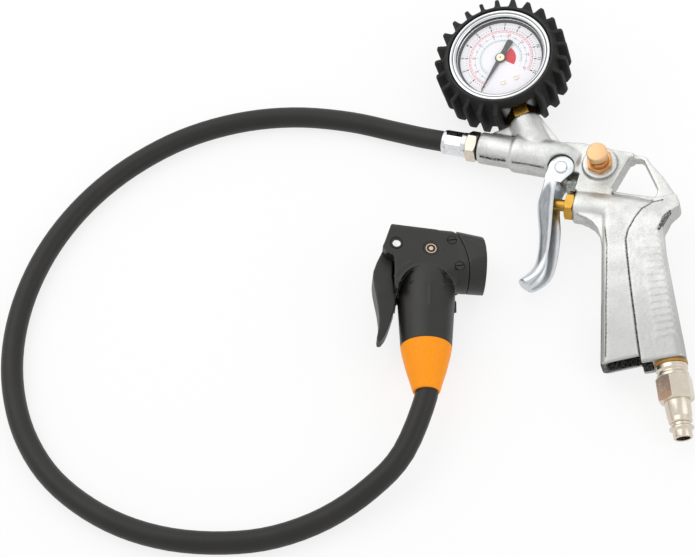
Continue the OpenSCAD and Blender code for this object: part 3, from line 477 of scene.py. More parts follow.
def moulded(name, tone, place, rough=0.42, grain=3.2, depth=0.02, painted_sheen=1.25):
    """Moulded plastic: spark-eroded grain, slightly polished patches lightened as painted sheen, painted
    highlights on its edges and painted shade in its creases.
    """
    f = Finish(name, Specular_IOR_Level=0.5)
    at = f.where(place)
    fine = f.noise(at, grain, 2, 0.6)
    cloud = f.noise(at, 0.14, 3)
    # polished patches: less rough, and lighter in colour as painted sheen
    skin = f.mix(cloud.rise(0.3, 0.75), tone, shade(tone, painted_sheen))
    # painted highlight on the edges and painted shade in the creases
    edge = (0 - f.hollow()).rise(0.03, 0.16)
    f.feed("Base Color", f.mix(f.hollow().rise(0.03, 0.14), f.mix(edge, skin, shade(tone, 2.2)),
                               shade(tone, 0.3)))
    f.feed("Roughness", rough + 0.12 * fine - 0.1 * cloud)
    return f.bump(fine, depth).material


def rubber(name, tone, place):
    """Moulded rubber: matt, fine grained, pale in dusty patches, with painted highlights along its edges."""
    f = Finish(name, Specular_IOR_Level=0.35)
    at = f.where(place)
    fine = f.noise(at, 2.4, 4, 0.7)
    # painted highlight along the edges, added to the pale dusty patches
    edge = (0 - f.hollow()).rise(0.05, 0.2) * 0.8
    dust_and_edge_highlight = f.noise(at, 0.22, 4).rise(0.45, 0.8) * fine.rise(0.35, 0.7) * 0.5 + edge
    f.feed("Base Color", f.mix(dust_and_edge_highlight, tone, shade(tone, 4.0)))
    f.feed("Roughness", 0.62 + 0.15 * fine - 0.08 * dust_and_edge_highlight)
    return f.bump(fine, 0.05).material


def sheet_ink(name, tone):
    """Screen-printed ink with slightly uneven cover."""
    f = Finish(name, Specular_IOR_Level=0.3)
    cover = f.noise(f.where(GAUGE), 2.2, 3)
    f.feed("Base Color", f.mix(cover.rise(0.35, 0.7), tone, shade(tone, 1.2)))
    f.feed("Roughness", 0.45 + 0.2 * cover)
    return f.material


def tones():
    return bpy.context.scene.inflator_colours


def sizes():
    return bpy.context.scene.inflator_sizes


# ---- Hose ----

HOSE_ROUTE = [
    (38.8, 93.4, 8.6), (22.7, 99.2, 6.7), (-1.5, 106.2, 6.1), (-29.7, 109.8, 6.1),
    (-56.2, 108.4, 6.1), (-81.8, 102.2, 6.1), (-105.9, 91.4, 6.1), (-129, 75, 6.1),
    (-148, 55.6, 6.1), (-163, 33.4, 6.1), (-173.6, 9.6, 6.1), (-180.2, -17, 6.1),
    (-181.8, -44, 6.1), (-178.2, -70, 6.1), (-169, -95.6, 6.1), (-154, -118, 6.1),
    (-134.4, -135, 6.1), (-111, -147.6, 6.1), (-85, -154.8, 6.1), (-57, -156.4, 6.1),
    (-31.4, -152.8, 6.1), (-6, -142.6, 6.8), (16.6, -127.6, 11), (33.4, -109.6, 16.1)]


def hose_points():
    """The hose's middle line in metres, from inside the ferrule to inside the collar."""
    ends_a = [BARREL @ Vector((0, 0, -70.55)), BARREL @ Vector((0, 0, -74.65))]
    ends_b = [SLEEVE @ Vector((0, 0, -57)), SLEEVE @ Vector((0, 0, -43))]
    laid = [(PART_AT + Vector(p)) * 0.001 for p in HOSE_ROUTE]
    stops = ends_a + laid + ends_b
    points = []
    for i in range(len(stops) - 1):
        a, b = stops[max(i - 1, 0)], stops[i]
        c, d = stops[i + 1], stops[min(i + 2, len(stops) - 1)]
        for t in (0, 0.25, 0.5, 0.75):
            points.append(0.5 * (2 * b + (c - a) * t + (2 * a - 5 * b + 4 * c - d) * t * t
                                 + (3 * b - a - 3 * c + d) * t ** 3))
    return points + [stops[-1]]


class INFLATOR_OT_hose(bpy.types.Operator):
    """Rubber hose from the ferrule to the chuck's collar"""
    bl_idname = "inflator.hose"
    bl_label = "Hose"

    def execute(self, context):
        points = hose_points()
        curve = bpy.data.curves.new("hose", "CURVE")
        curve.dimensions = "3D"
        line = curve.splines.new("POLY")
        line.points.add(len(points) - 1)
        for spot, p in zip(line.points, points):
            spot.co = (*p, 1)
        curve.bevel_depth = sizes().hose_diameter / 2
        curve.bevel_resolution = 10
        curve.use_fill_caps = True
        line.use_smooth = True
        f = Finish("hose_rubber", Specular_IOR_Level=0.42)
        at = f.where(GUN)
        fine = f.noise(at, 3.0, 3, 0.6)
        cloud = f.noise(at, 0.07, 3)
        tone = tones().hose
        f.feed("Base Color", f.mix(cloud.rise(0.35, 0.7), tone, shade(tone, 1.25)))
        f.feed("Roughness", 0.42 + 0.16 * fine - 0.06 * cloud)
        curve.materials.append(f.bump(fine * 0.6 + cloud * 0.4, 0.03).material)
        hose = bpy.data.objects.new("hose", curve)
        context.scene.collection.objects.link(hose)
        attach(hose, "pistol")
        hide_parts("air_hose")
        run = sum((b - a).length for a, b in zip(points, points[1:]))
        return {"FINISHED"}


# ---- Pistol ----

# Height at which the grip's ribs begin: they are lowered and made uneven, as a worn die
# leaves them
RIB_FOOT = 10.4


class INFLATOR_OT_casting(bpy.types.Operator):
    """Die-cast pistol with its edges rounded"""
    bl_idname = "inflator.casting"
    bl_label = "Casting"

    def execute(self, context):
        bm = remade(cad_copy("pistol_body", GUN), sizes().casting_softness * 1000, 3)
        for v in bm.verts:
            if v.co.z > RIB_FOOT and v.co.x > 45 and v.co.y < -30:
                v.co.z = RIB_FOOT + (v.co.z - RIB_FOOT) * 0.6 + 0.12 * noise.noise(v.co * 0.9)
        piece = finished("casting", bm, GUN, cast_metal("cast_aluminium", tones().aluminium),
                         ["pistol_body"], crease=180)
        cast_marks(piece.data, GUN)
        return {"FINISHED"}


# Sections down the trigger, in the pistol's x and y: its front, its folds, and the rear
# edges of its upper and lower flange
TRIGGER = [
    ((-7.6, -13), (-7.4, -13), (0.6, -13), (3.5, -12.5)),
    ((-7.8, -19), (-7, -19), (0, -18.5), (1.5, -19)),
    ((-8.4, -26), (-6.4, -26), (0.9, -26), (2.2, -25.5)),
    ((-8.6, -30), (-6.2, -31), (2, -31), (3.6, -31)),
    ((-6.5, -37.2), (-3.6, -37.8), (3.3, -38), (6.5, -38.5)),
    ((-2.4, -47.6), (-0.2, -46.8), (5, -47), (8, -47)),
    ((-0.4, -56.9), (2.6, -56), (6.5, -56.4), (9.4, -57)),
    ((0, -64), (4.1, -64), (6.8, -64.5), (9.4, -65.9)),
    ((-1, -68.5), (4, -69), (6.2, -69.5), (7.9, -70)),
    ((-4, -73), (1.5, -73.5), (4, -74), (5, -74)),
    ((-7, -76.3), (-3.5, -77.2), (-1, -78.6), (0.3, -78.3))]
SHEET = 1.45
TRIGGER_HALF = 8.2
# Where a flange's points lie on the way from its rear edge to the fold and from the fold to the
# front, and how far each stands from the middle plane
FLANGE = [(0, TRIGGER_HALF), (0.5, TRIGGER_HALF), (0.86, TRIGGER_HALF)]
FRONT = [(0.12, 7.9), (0.55, 6.6), (0.88, 4.4)]
EAR_RADIUS = 7.1


class INFLATOR_OT_trigger(bpy.types.Operator):
    """Trigger of bent sheet and its pin"""
    bl_idname = "inflator.trigger"
    bl_label = "Trigger"

    def execute(self, context):
        f = Finish("trigger_zinc", Metallic=1.0)
        at = f.where(GUN)
        tone = tones().zinc
        drawn = f.noise(f.stretched(at, 1.6, 0.15, 1.6), 1.4, 4, 0.6)
        # painted reflection: fold is the dark band stored down the upper flange, not a crease, and the colour
        # darkens along it
        fold = f.hollow()
        painted_dark = fold.rise(0.05, 0.5) * (0.6 + 0.4 * drawn)
        skin = f.mix(drawn.rise(0.35, 0.75), tone, shade(tone, 0.86))
        f.feed("Base Color", f.mix(painted_dark, skin, shade(tone, 0.13)))
        f.feed("Roughness", 0.24 + 0.14 * drawn)
        sheet = joined(self.folded(), self.ear(TRIGGER_HALF - SHEET), self.ear(-TRIGGER_HALF))
        self.darken(sheet)
        finished("trigger", sheet, GUN, f.bump(drawn, 0.05).material, ["trigger_lever"],
                 "trigger", crease=50)
        dress(plated("pin_steel", tones().zinc, GUN, 0.3), "trigger_pin")
        return {"FINISHED"}

    def folded(self):
        """The sheet folded along its front, walled and softened."""
        bm = bmesh.new()
        rows = []
        for front, fold, upper, lower in TRIGGER:
            row = []
            for rear, side in ((upper, 1), (lower, -1)):
                points = [(*Vector(rear).lerp(Vector(fold), way), z * side) for way, z in FLANGE]
                points += [(*Vector(fold).lerp(Vector(front), way), z * side) for way, z in FRONT]
                row.append(points if side > 0 else points[::-1])
            rows.append([bm.verts.new(p) for p in row[0] + [(*front, 0)] + row[1]])
        lines = [[bm.edges.new(pair) for pair in zip(row, row[1:])] for row in rows]
        for a, b in zip(lines, lines[1:]):
            bmesh.ops.bridge_loops(bm, edges=a + b)
        bmesh.ops.recalc_face_normals(bm, faces=bm.faces)
        spot = min(bm.faces, key=lambda face: face.calc_center_median().x)
        if spot.normal.x > 0:
            bmesh.ops.reverse_faces(bm, faces=bm.faces)
        mesh = bpy.data.meshes.new("sheet")
        bm.to_mesh(mesh)
        bm.free()
        holder = bpy.data.objects.new("sheet", mesh)
        bpy.context.scene.collection.objects.link(holder)
        wall = holder.modifiers.new("wall", "SOLIDIFY")
        wall.thickness = SHEET
        wall.offset = -1
        wall.use_even_offset = True
        soft = holder.modifiers.new("soft", "SUBSURF")
        soft.levels = soft.render_levels = 2
        return taken(holder)

    def ear(self, base):
        """Round ear of the sheet on one side of the pin, with its rims eased."""
        rim = [(EAR_RADIUS * math.cos(math.radians(a)), EAR_RADIUS * math.sin(math.radians(a)) - 7.6)
               for a in range(-14, 195, 4)]
        ear = sawn(rim + [(-7.5, -13.4), (-7.35, -16.5), (2.2, -16.5), (4.6, -12.6)], SHEET, base)
        rims = [e for e in ear.edges if len(e.link_faces) == 2 and e.calc_face_angle() > 1.2]
        bmesh.ops.bevel(ear, geom=rims, offset=0.3, segments=3, profile=0.5, affect="EDGES", material=-1)
        return ear

    def darken(self, sheet):
        """Stores a band of painted reflection, dark, that runs down the upper flange between its two ends, in
        the hollow attribute.
        """
        level = sheet.verts.layers.float.new("hollow")
        heights = [front[1] for front, *_ in TRIGGER][::-1]
        fronts = [front[0] for front, *_ in TRIGGER][::-1]
        rears = [upper[0] for _, _, upper, _ in TRIGGER][::-1]
        top, foot = -15, -70
        for v in sheet.verts:
            if v.co.z > 2 and foot < v.co.y < top:
                front = float(np.interp(v.co.y, heights, fronts))
                rear = float(np.interp(v.co.y, heights, rears))
                across = (v.co.x - front) / (rear - front)
                along = min(1.0, (top - v.co.y) / 9, (v.co.y - foot) / 12)
                v[level] = max(0.0, 1 - abs(across - 0.5) / 0.42) * along


def nut(flats, low, high, bore=0.0, chamfer=0.7, turn=0.0):
    """Chamfered hexagon, bored through or solid."""
    corner = flats / 2 / math.cos(math.pi / 6) + 0.05
    inner = bore / 2
    rim = flats / 2 - 0.1
    profile = [(inner, low), (rim, low), (corner, low + chamfer),
               (corner, high - chamfer), (rim, high), (inner, high)]
    if inner:
        profile.append((inner, low))
    return flatted(spun(profile, 72), flats, 6, turn)


def slotted(radius, low, high, width, depth, turn=0.0):
    """Screw head with a rounded rim, its slot left between two half discs."""
    floor, rim = high - depth, radius - 0.02
    whole = spun([(0, low), (radius, low), (radius, floor), (0, floor)], 48)
    for side in (0, 180):
        cap = spun([(0, floor - 0.02), (rim, floor - 0.02), (rim, high - 0.15),
                    (radius - 0.2, high), (0, high)], 48)
        cut = bmesh.ops.bisect_plane(cap, geom=cap.verts[:] + cap.edges[:] + cap.faces[:], dist=1e-5,
                                     plane_co=(0, width / 2, 0), plane_no=(0, 1, 0), clear_inner=True)
        edges = [g for g in cut["geom_cut"] if isinstance(g, bmesh.types.BMEdge)]
        bmesh.ops.holes_fill(cap, edges=edges, sides=0)
        bmesh.ops.recalc_face_normals(cap, faces=cap.faces)
        whole = joined(whole, moved(cap, turned(side, "Z")))
    return moved(whole, turned(turn, "Z"))


class INFLATOR_OT_fittings(bpy.types.Operator):
    """Hose nut, ferrule, side plug, gland and deflate button"""
    bl_idname = "inflator.fittings"
    bl_label = "Fittings"

    def execute(self, context):
        tone = tones()
        brass = plated("valve_brass", tone.brass, GUN, 0.24)
        self.hose_end(tone)
        self.valve(brass)
        self.button(tone)
        dress(brass, "valve_plunger", "hose_tail", "chuck_tail")
        dress(plated("spring_steel", shade(tone.zinc, 0.8), GUN, 0.3), "valve_spring", "button_spring")
        dress(rubber("seal_rubber", tone.boot, GUN), "valve_seal", "hose_seal", "nose_grommet")
        return {"FINISHED"}

    def hose_end(self, tone):
        back = -58.05
        shank = spun([(3.1, back), (6.35, back), (6.35, -43.2), (3.1, -43.2), (3.1, back)], 48)
        finished("hose_nut", joined(nut(15.6, back, -51.8, 6.2, 0.9, 12), shank), BARREL,
                 plated("nut_nickel", tone.nickel, BARREL, 0.24), ["hose_nut"], crease=25,
                 bevel=0.12)
        outer, inner = 7.1, 6.06
        sleeve = spun([(inner, back - 14.6), (6.7, back - 14.6), (outer - 0.1, back - 14.2),
                       (outer, back - 13.7), (outer, back - 12.6), (outer - 0.3, back - 12.2),
                       (inner, back - 12.2), (inner, back - 14.6)], 96)
        grip = spun([(inner, back - 12.3), (outer, back - 12.3), (outer, back - 3.1), (inner, back - 3.1),
                     (inner, back - 12.3)], 96)
        lip = spun([(3.1, back - 3.2), (outer - 0.1, back - 3.2), (outer + 0.15, back - 2.6),
                    (outer + 0.15, back - 0.5), (outer - 0.1, back), (3.1, back), (3.1, back - 3.2)], 96)
        finished("ferrule", joined(sleeve, flatted(grip, 13.1, 8, 12), lip), BARREL,
                 plated("ferrule_chrome", tone.chrome, BARREL, 0.16, 0.04, drawn=(2, 2, 0.3)),
                 ["hose_ferrule"], crease=22, bevel=0.15)

    def valve(self, brass):
        shank = spun([(3.35, -1.1), (5.45, -1.1), (5.45, 8), (3.35, 8), (3.35, -1.1)], 48)
        finished("gland", joined(nut(14, -5, -0.1, 6.7, 0.6), shank), TUBE, brass, ["gland_nut"],
                 crease=25, bevel=0.1)
        side = GUN @ shifted(0, -13.6) @ turned(90, "Y")
        f = Finish("side_plug_steel", Metallic=1.0)
        at = f.where(GUN)
        tone_shift = f.noise(at, 0.7, 4, 0.7).rise(0.42, 0.62)
        edge = (0 - f.hollow()).rise(0.02, 0.1)
        f.feed("Base Color", f.mix(tone_shift, paint("76807f"), paint("bdbbb2")))
        f.feed("Roughness", 0.28 + 0.2 * tone_shift - 0.1 * edge)
        head = nut(9, 4.7, 10.25, chamfer=0.5, turn=30)
        thread = spun([(0, 9.3), (3.35, 9.3), (3.35, 14.3), (0, 14.3)], 40)
        finished("side_plug", joined(head, thread), side, f.bump(f.noise(at, 1.5, 3), 0.06).material,
                 ["passage_plug"], crease=25, bevel=0.18)

    def button(self, tone):
        seat = nut(13, 9.05, 12.45, 6.1, 0.55, 18)
        neck = spun([(3.05, 12.3), (5.4, 12.3), (5.35, 13.2), (4.9, 14.2), (4.7, 14.5), (3.05, 14.5),
                     (3.05, 12.3)], 64)
        thread = spun([(3.05, 0.2), (4.95, 0.2), (4.95, 10), (3.05, 10), (3.05, 0.2)], 48)
        finished("button_seat", joined(seat, neck, thread), BUTTON,
                 plated("seat_copper", paint("d9a267"), BUTTON, 0.26), ["button_seat"], crease=25,
                 bevel=0.1)
        stem = spun([(0, 5), (2.98, 5), (2.98, 18), (0, 18)], 48)
        cap = spun([(0, 17.62), (5.25, 17.62), (5.6, 17.9), (5.7, 18.2), (5.7, 21.5), (5.55, 21.95),
                    (5.2, 22.25), (4.8, 22.36), (0, 22.36)], 96)
        f = Finish("cap_copper", Metallic=0.75, Specular_IOR_Level=0.4)
        at = f.where(BUTTON)
        turnings = f.noise(f.stretched(at, 2.4, 0.35, 1), 1.5, 4, 0.65)
        f.feed("Base Color", f.mix(turnings.rise(0.35, 0.7), tone.cap, shade(tone.cap, 0.84)))
        f.feed("Roughness", 0.36 + 0.14 * turnings)
        finished("button_cap", joined(stem, cap), BUTTON, f.bump(turnings, 0.03).material,
                 ["deflate_button"], "button", crease=40)


class INFLATOR_OT_inlet(bpy.types.Operator):
    """Inlet plug for an air line's quick coupling"""
    bl_idname = "inflator.inlet"
    bl_label = "Inlet plug"

    def execute(self, context):
        bore = 3.72
        collar = spun([(bore, -9.4), (6.45, -9.4), (6.45, 1.62), (8.2, 1.62), (8.4, 1.9), (8.4, 4.1),
                       (8.1, 4.6), (7.6, 5.2), (7.6, 6.0), (8.1, 6.5), (8.55, 6.8), (8.55, 8.1),
                       (8.2, 8.4), (bore, 8.4), (bore, -9.4)], 96)
        hexagon = nut(17, 8.2, 21.4, 2 * bore, 1.0, 10)
        neck = spun([(bore, 20.4), (7, 20.4), (6.9, 22), (6.5, 29.8), (6.2, 30.4), (6.2, 32.8), (5.6, 33.4),
                     (4.95, 33.6), (4.95, 35), (6, 35.4), (6.4, 35.8), (6.4, 36.6), (5, 37.8), (5, 41.1),
                     (4.9, 41.45), (4.5, 41.7), (bore + 0.2, 41.7), (bore, 41.5), (bore, 20.4)], 96)
        finished("plug", joined(collar, hexagon, neck), PORT,
                 plated("plug_nickel", tones().nickel, PORT, 0.22, 0.04, 0.95, drawn=(0.4, 0.4, 3)),
                 ["inlet_plug"], crease=25, bevel=0.1)
        dress(moulded("washer_fibre", paint("b98a3e"), PORT), "inlet_washer")
        return {"FINISHED"}


# ---- Gauge ----

SCALE_START, SCALE_SWEEP = 223, 270
INK = 0.03


def dial_place(share, radius):
    """Point on the dial at a share of the scale's sweep."""
    angle = math.radians(SCALE_START - SCALE_SWEEP * share)
    return Vector((radius * math.cos(angle), radius * math.sin(angle), 0)), angle


def printed_line(share, inner, outer, width):
    spot, angle = dial_place(share, (inner + outer) / 2)
    bm = bmesh.new()
    bmesh.ops.create_cube(bm, size=1)
    moved(bm, Matrix.Diagonal((outer - inner, width, INK, 1)))
    return moved(bm, Matrix.Translation(spot) @ Matrix.Rotation(angle, 4, "Z"))


def printed_arc(radius, width, start=0.0, end=1.0, height=INK):
    """Thin ring of ink along the scale."""
    sweep = SCALE_SWEEP * (end - start)
    outline = [(radius - width / 2, 0), (radius + width / 2, 0),
               (radius + width / 2, height), (radius - width / 2, height)]
    bm = bmesh.new()
    face = bm.faces.new([bm.verts.new((r, 0, z)) for r, z in outline])
    bmesh.ops.spin(bm, geom=[face], cent=(0, 0, 0), axis=(0, 0, 1), steps=max(8, int(sweep / 3)),
                   angle=math.radians(sweep), use_duplicate=False)
    bmesh.ops.recalc_face_normals(bm, faces=bm.faces)
    return moved(bm, turned(SCALE_START - SCALE_SWEEP * end, "Z") @ shifted(0, 0, -height / 2))


def figure(text, size, spot, turn, bold=0.0):
    """A plain number as a thin solid."""
    letters = bpy.data.curves.new("figure", "FONT")
    letters.body = text
    letters.size = size
    letters.align_x = "CENTER"
    letters.align_y = "CENTER"
    letters.extrude = INK / 2
    letters.offset = bold
    letters.resolution_u = 3
    holder = bpy.data.objects.new("figure", letters)
    bpy.context.scene.collection.objects.link(holder)
    bm = taken(holder)
    bmesh.ops.remove_doubles(bm, verts=bm.verts, dist=1e-4)
    return moved(bm, Matrix.Translation(spot) @ Matrix.Rotation(turn, 4, "Z"))


class INFLATOR_OT_dial(bpy.types.Operator):
    """Printed dial with its scales, needle and screws"""
    bl_idname = "inflator.dial"
    bl_label = "Dial"

    def execute(self, context):
        tone, radius, steps = tones(), sizes().dial_radius * 1000, sizes().dial_steps
        face = moulded("dial_paint", tone.dial, GAUGE, 0.4, 1.5, 0.004, 1.02)
        shader = face.node_tree.nodes["Principled BSDF"]
        # painted light: the dial glows faintly in its own colour, lifting the shade inside the case
        shader.inputs["Emission Color"].default_value = tone.dial
        shader.inputs["Emission Strength"].default_value = 0.16
        dress(face, "gauge_dial")
        top = GAUGE @ shifted(0, 0, 11.03)
        black = []
        for k in range(steps * 5 + 1):
            long = k % 5 == 0
            black.append(printed_line(k / (steps * 5), radius + (0 if long else 0.5),
                                      radius + (1.6 if long else 1.1), 0.62 if long else 0.26))
        finished("scale_outer", joined(*black), top, sheet_ink("scale_ink", tone.ink))
        plain = []
        for k in range(steps + 1):
            spot, angle = dial_place(k / steps, radius + 3.0)
            plain.append(figure(str(k), 2.5, spot, angle - math.pi / 2, bold=0.05))
        finished("scale_figures", joined(*plain), top, sheet_ink("figure_ink", shade(tone.ink, 3.2)))
        red = [printed_arc(radius - 0.75, 0.3), printed_arc(radius - 1.75, 0.2)]
        for k in range(41):
            red.append(printed_line(k / 40, radius - 1.8, radius - 0.75, 0.22))
        for k in range(1, 9):
            spot, angle = dial_place(k / 8, radius - 3.2)
            red.append(figure(str(k * 20), 1.6, spot, angle - math.pi / 2, bold=0.02))
        finished("scale_second", joined(*red), top, sheet_ink("second_ink", tone.ring_ink))
        inner = radius - 7.2
        pale = [printed_arc(radius - 4.3, 0.2), printed_arc(inner, 0.36, 0.05, 0.95),
                printed_arc(inner - 0.8, 0.18, 0.05, 0.95)]
        for k in range(31):
            pale.append(printed_line(k / 30, inner, inner + 0.9, 0.2))
        finished("scale_inner", joined(*pale), top, sheet_ink("inner_ink", tone.inner_ink))
        dots = [printed_line(k / 16, radius - 4.6, radius - 3.8, 0.42) for k in range(17)]
        for k in range(1, 8):
            spot, angle = dial_place(k / 8, radius - 5.5)
            dots.append(figure(str(k), 1.3, spot, angle - math.pi / 2))
        finished("scale_third", joined(*dots), top, sheet_ink("third_ink", shade(tone.ink, 2.6)))
        sector = printed_arc(5.9, 5.8, 0.715, 1.01, 0.04)
        finished("dial_sector", sector, top, sheet_ink("sector_ink", tone.sector))
        self.needle()
        dress(plated("dial_screw_steel", shade(tone.nickel, 1.1), GAUGE, 0.3), "dial_screws")
        return {"FINISHED"}

    def needle(self):
        black = moulded("needle_black", paint("3a3d3c"), GAUGE, 0.4, 2.0, 0.006)
        shape = [(0, 1.45), (9, 0.95), (22.3, 0.26), (22.3, -0.26), (9, -0.95), (0, -1.45),
                 (-6, -1.5), (-11.4, -1.9), (-12.4, -1.3), (-12.6, 0), (-12.4, 1.3), (-11.4, 1.9), (-6, 1.5)]
        blade = moved(sawn(shape, 0.4, 12.0), turned(SCALE_START, "Z"))
        post = spun([(0, 11.45), (3.1, 11.45), (3.1, 12.42), (2.9, 12.55), (0, 12.55)], 48)
        finished("needle", joined(blade, post), GAUGE, black,
                 ["gauge_pointer"], "pointer", bevel=0.06)
        cap = spun([(0.42, 12.56), (2.45, 12.56), (2.45, 12.7), (2.15, 12.95), (0.6, 12.98), (0.42, 12.8),
                    (0.42, 12.56)], 48)
        finished("needle_cap", cap, GAUGE, plated("needle_cap_brass", paint("f0e6c8"), GAUGE, 0.3),
                 body="pointer")


class INFLATOR_OT_gauge(bpy.types.Operator):
    """Gauge case, bezel, lens, connector and works"""
    bl_idname = "inflator.gauge"
    bl_label = "Gauge"

    def execute(self, context):
        tone = tones()
        bezel = spun([(28.55, 8), (29.55, 8), (29.6, 8.1), (29.6, 15), (29.45, 15.65), (29.1, 16.15),
                      (28.6, 16.4), (28.1, 16.4), (27.6, 16.2), (27.25, 15.85), (26.95, 15.85), (26.7, 16.02),
                      (26.35, 15.98), (25.6, 15.5), (25.15, 15.05), (25.12, 14.6), (26.7, 15.2),
                      (28.55, 14.2), (28.55, 8)], 160)
        f = Finish("bezel_chrome", Metallic=1.0)
        at = f.where(GAUGE)
        x, y, _ = f.parts(at)
        r = (x * x + y * y) ** 0.5
        # painted shade: dark rings in the groove between the bezel's beads and at its inner lip
        painted_dark = r.near(27.15, 0.5) + r.near(25.1, 0.35)
        marks = f.noise(at, 0.8, 3)
        bright = f.mix(marks, tone.chrome, shade(tone.chrome, 0.85))
        f.feed("Base Color", f.mix(painted_dark, bright, paint("2c2c2d")))
        f.feed("Roughness", 0.07 + 0.05 * marks)
        finished("bezel", bezel, GAUGE, f.bump(marks, 0.02).material, ["gauge_bezel"],
                 crease=60)
        ring = spun([(24.8, 12.0), (27.2, 12.0), (27.2, 13.1), (25.1, 13.1), (24.8, 12.8), (24.8, 12.0)], 160)
        finished("rim", ring, GAUGE, plated("rim_chrome", tone.chrome, GAUGE, 0.2),
                 ["gauge_rim"], crease=40)
        foot = spun([(23.6, 11.1), (26, 11.1), (26, 11.9), (24.4, 11.9), (23.9, 11.6), (23.6, 11.1)], 160)
        finished("rim_foot", foot, GAUGE, moulded("rim_black", paint("1b1b1c"), GAUGE, 0.3),
                 crease=40)
        dress(plated("case_steel", shade(tone.zinc, 0.35), GAUGE, 0.35), "gauge_case")
        dress(plated("works_brass", shade(tone.brass, 0.7), GAUGE, 0.26), "bourdon_tube", "gauge_movement")
        dress(plated("connector_brass", tone.brass, GAUGE, 0.24), "gauge_connector")
        lens = Finish("lens_clear", Alpha=0.05, IOR=1.49)
        smear = lens.noise(lens.where(GAUGE), 0.25, 3)
        lens.feed("Roughness", 0.03 + 0.05 * smear)
        lens.feed("Base Color", lens.mix(smear, (0.95, 0.97, 1, 1), (1, 1, 1, 1)))
        dress(lens.material, "gauge_lens")
        return {"FINISHED"}


class INFLATOR_OT_boot(bpy.types.Operator):
    """Rubber boot with its bent lugs"""
    bl_idname = "inflator.boot"
    bl_label = "Boot"

    def execute(self, context):
        bm = remade(cad_copy("rubber_boot", GAUGE), 0.6, 4)
        finished("boot", bm, GAUGE, rubber("boot_rubber", tones().boot, GAUGE),
                 ["rubber_boot"], crease=180)
        return {"FINISHED"}


# ---- Chuck ----

class INFLATOR_OT_chuck(bpy.types.Operator):
    """Chuck's moulded body, nose cap and trim"""
    bl_idname = "inflator.chuck"
    bl_label = "Chuck"

    def execute(self, context):
        tone = tones()
        plastic = moulded("chuck_plastic", tone.plastic, CHUCK)
        bm = self.leaned(remade(self.ridges(cad_copy("chuck_body", CHUCK)), 0.42, 3))
        finished("chuck_shell", bm, CHUCK, plastic, ["chuck_body"], crease=180)
        bm = remade(cad_copy("nose_cap", CHUCK), 0.4, 3)
        finished("chuck_nose", bm, CHUCK, plastic, ["nose_cap"], crease=180)
        trim = moulded("trim_plastic", shade(tone.plastic, 0.8), CHUCK)
        heads = []
        for x, y in ((13, 30.6), (17, 14.6)):
            for side in (0, 180):
                head = slotted(2.45, 12.85, 14.05, 0.7, 0.5, 10)
                heads.append(moved(head, shifted(x, y) @ turned(side, "Y")))
        finished("cap_screws", joined(*heads), CHUCK, trim, ["nose_screws"], crease=35)
        ring = [(2.28, 13.05), (3.33, 13.05), (3.33, 13.95), (3.1, 14.22), (2.6, 14.22), (2.28, 13.9),
                (2.28, 13.05)]
        rings = [moved(spun(ring, 64), shifted(-17, 27.2) @ turned(side, "Y")) for side in (0, 180)]
        finished("pin_rings", joined(*rings), CHUCK, trim, ["pin_rings"], crease=35)
        self.badge()
        dress(trim, "chuck_plunger")
        return {"FINISHED"}

    def leaned(self, bm):
        """Slopes the head's flat top from its back down to the nose."""
        for v in bm.verts:
            if v.co.y > 28 and v.co.x < 16:
                drop = 0.0958 * (6 - v.co.x) - 0.7 if v.co.x < 6 else -0.07 * (16 - v.co.x)
                v.co.y += drop * min(1.0, (v.co.y - 28) / 9)
        return bm

    def ridges(self, bm):
        """Adds the raised arch over the sleeve and the mould's parting line."""
        parts = [bm]
        for radius, start, sweep, z in ((15.1, 13, 154, 13.75), (18.6, 116, 44, 13.7)):
            arch = spun([(radius - 0.62, -0.5), (radius + 0.62, -0.5), (radius + 0.42, 0.35), (radius, 0.6),
                         (radius - 0.42, 0.35), (radius - 0.62, -0.5)], 48, sweep)
            ends = [e for e in arch.edges if e.is_boundary]
            bmesh.ops.holes_fill(arch, edges=ends, sides=0)
            bmesh.ops.recalc_face_normals(arch, faces=arch.faces)
            parts.append(moved(arch, shifted(-0.7, -0.6, z) @ turned(start, "Z")))
        line = bmesh.new()
        bmesh.ops.create_cube(line, size=1)
        parts.append(moved(line, shifted(0.7, -3.5, 15.4) @ Matrix.Diagonal((0.5, 15, 0.9, 1))))
        return joined(*parts)

    def badge(self):
        spot = CHUCK @ shifted(1.6, 24.7)
        disc = spun([(0, 13.05), (4.28, 13.05), (4.28, 13.75), (4.1, 13.95), (0, 13.95)], 72)
        finished("badge", disc, spot, moulded("badge_gloss", paint("131110"), CHUCK, 0.2),
                 ["badge_disc"], crease=40)
        mark = spun([(2.45, 13.96), (2.9, 13.96), (2.9, 14.04), (2.45, 14.04), (2.45, 13.96)], 48)
        dot = spun([(0, 13.96), (1.15, 13.96), (1.15, 14.04), (0, 14.04)], 32)
        finished("badge_mark", joined(mark, dot), spot, sheet_ink("badge_ink", paint("e8cdb0")))


# Share of its length that the lever keeps below its pin's level
LEVER_SHARE = 0.9


class INFLATOR_OT_lever(bpy.types.Operator):
    """Chuck's locking lever and its pin"""
    bl_idname = "inflator.lever"
    bl_label = "Lever"

    def execute(self, context):
        tone = tones()
        bm = remade(cad_copy("chuck_lever", CHUCK), 0.4, 7)
        for v in bm.verts:
            if v.co.y < 0:
                v.co.y *= LEVER_SHARE
        finished("lever", bm, CHUCK, moulded("lever_plastic", shade(tone.plastic, 0.85), CHUCK),
                 ["chuck_lever"], "lever", crease=180)
        dress(plated("lever_pin_metal", paint("e8e8e6"), CHUCK, 0.3), "lever_pin")
        return {"FINISHED"}


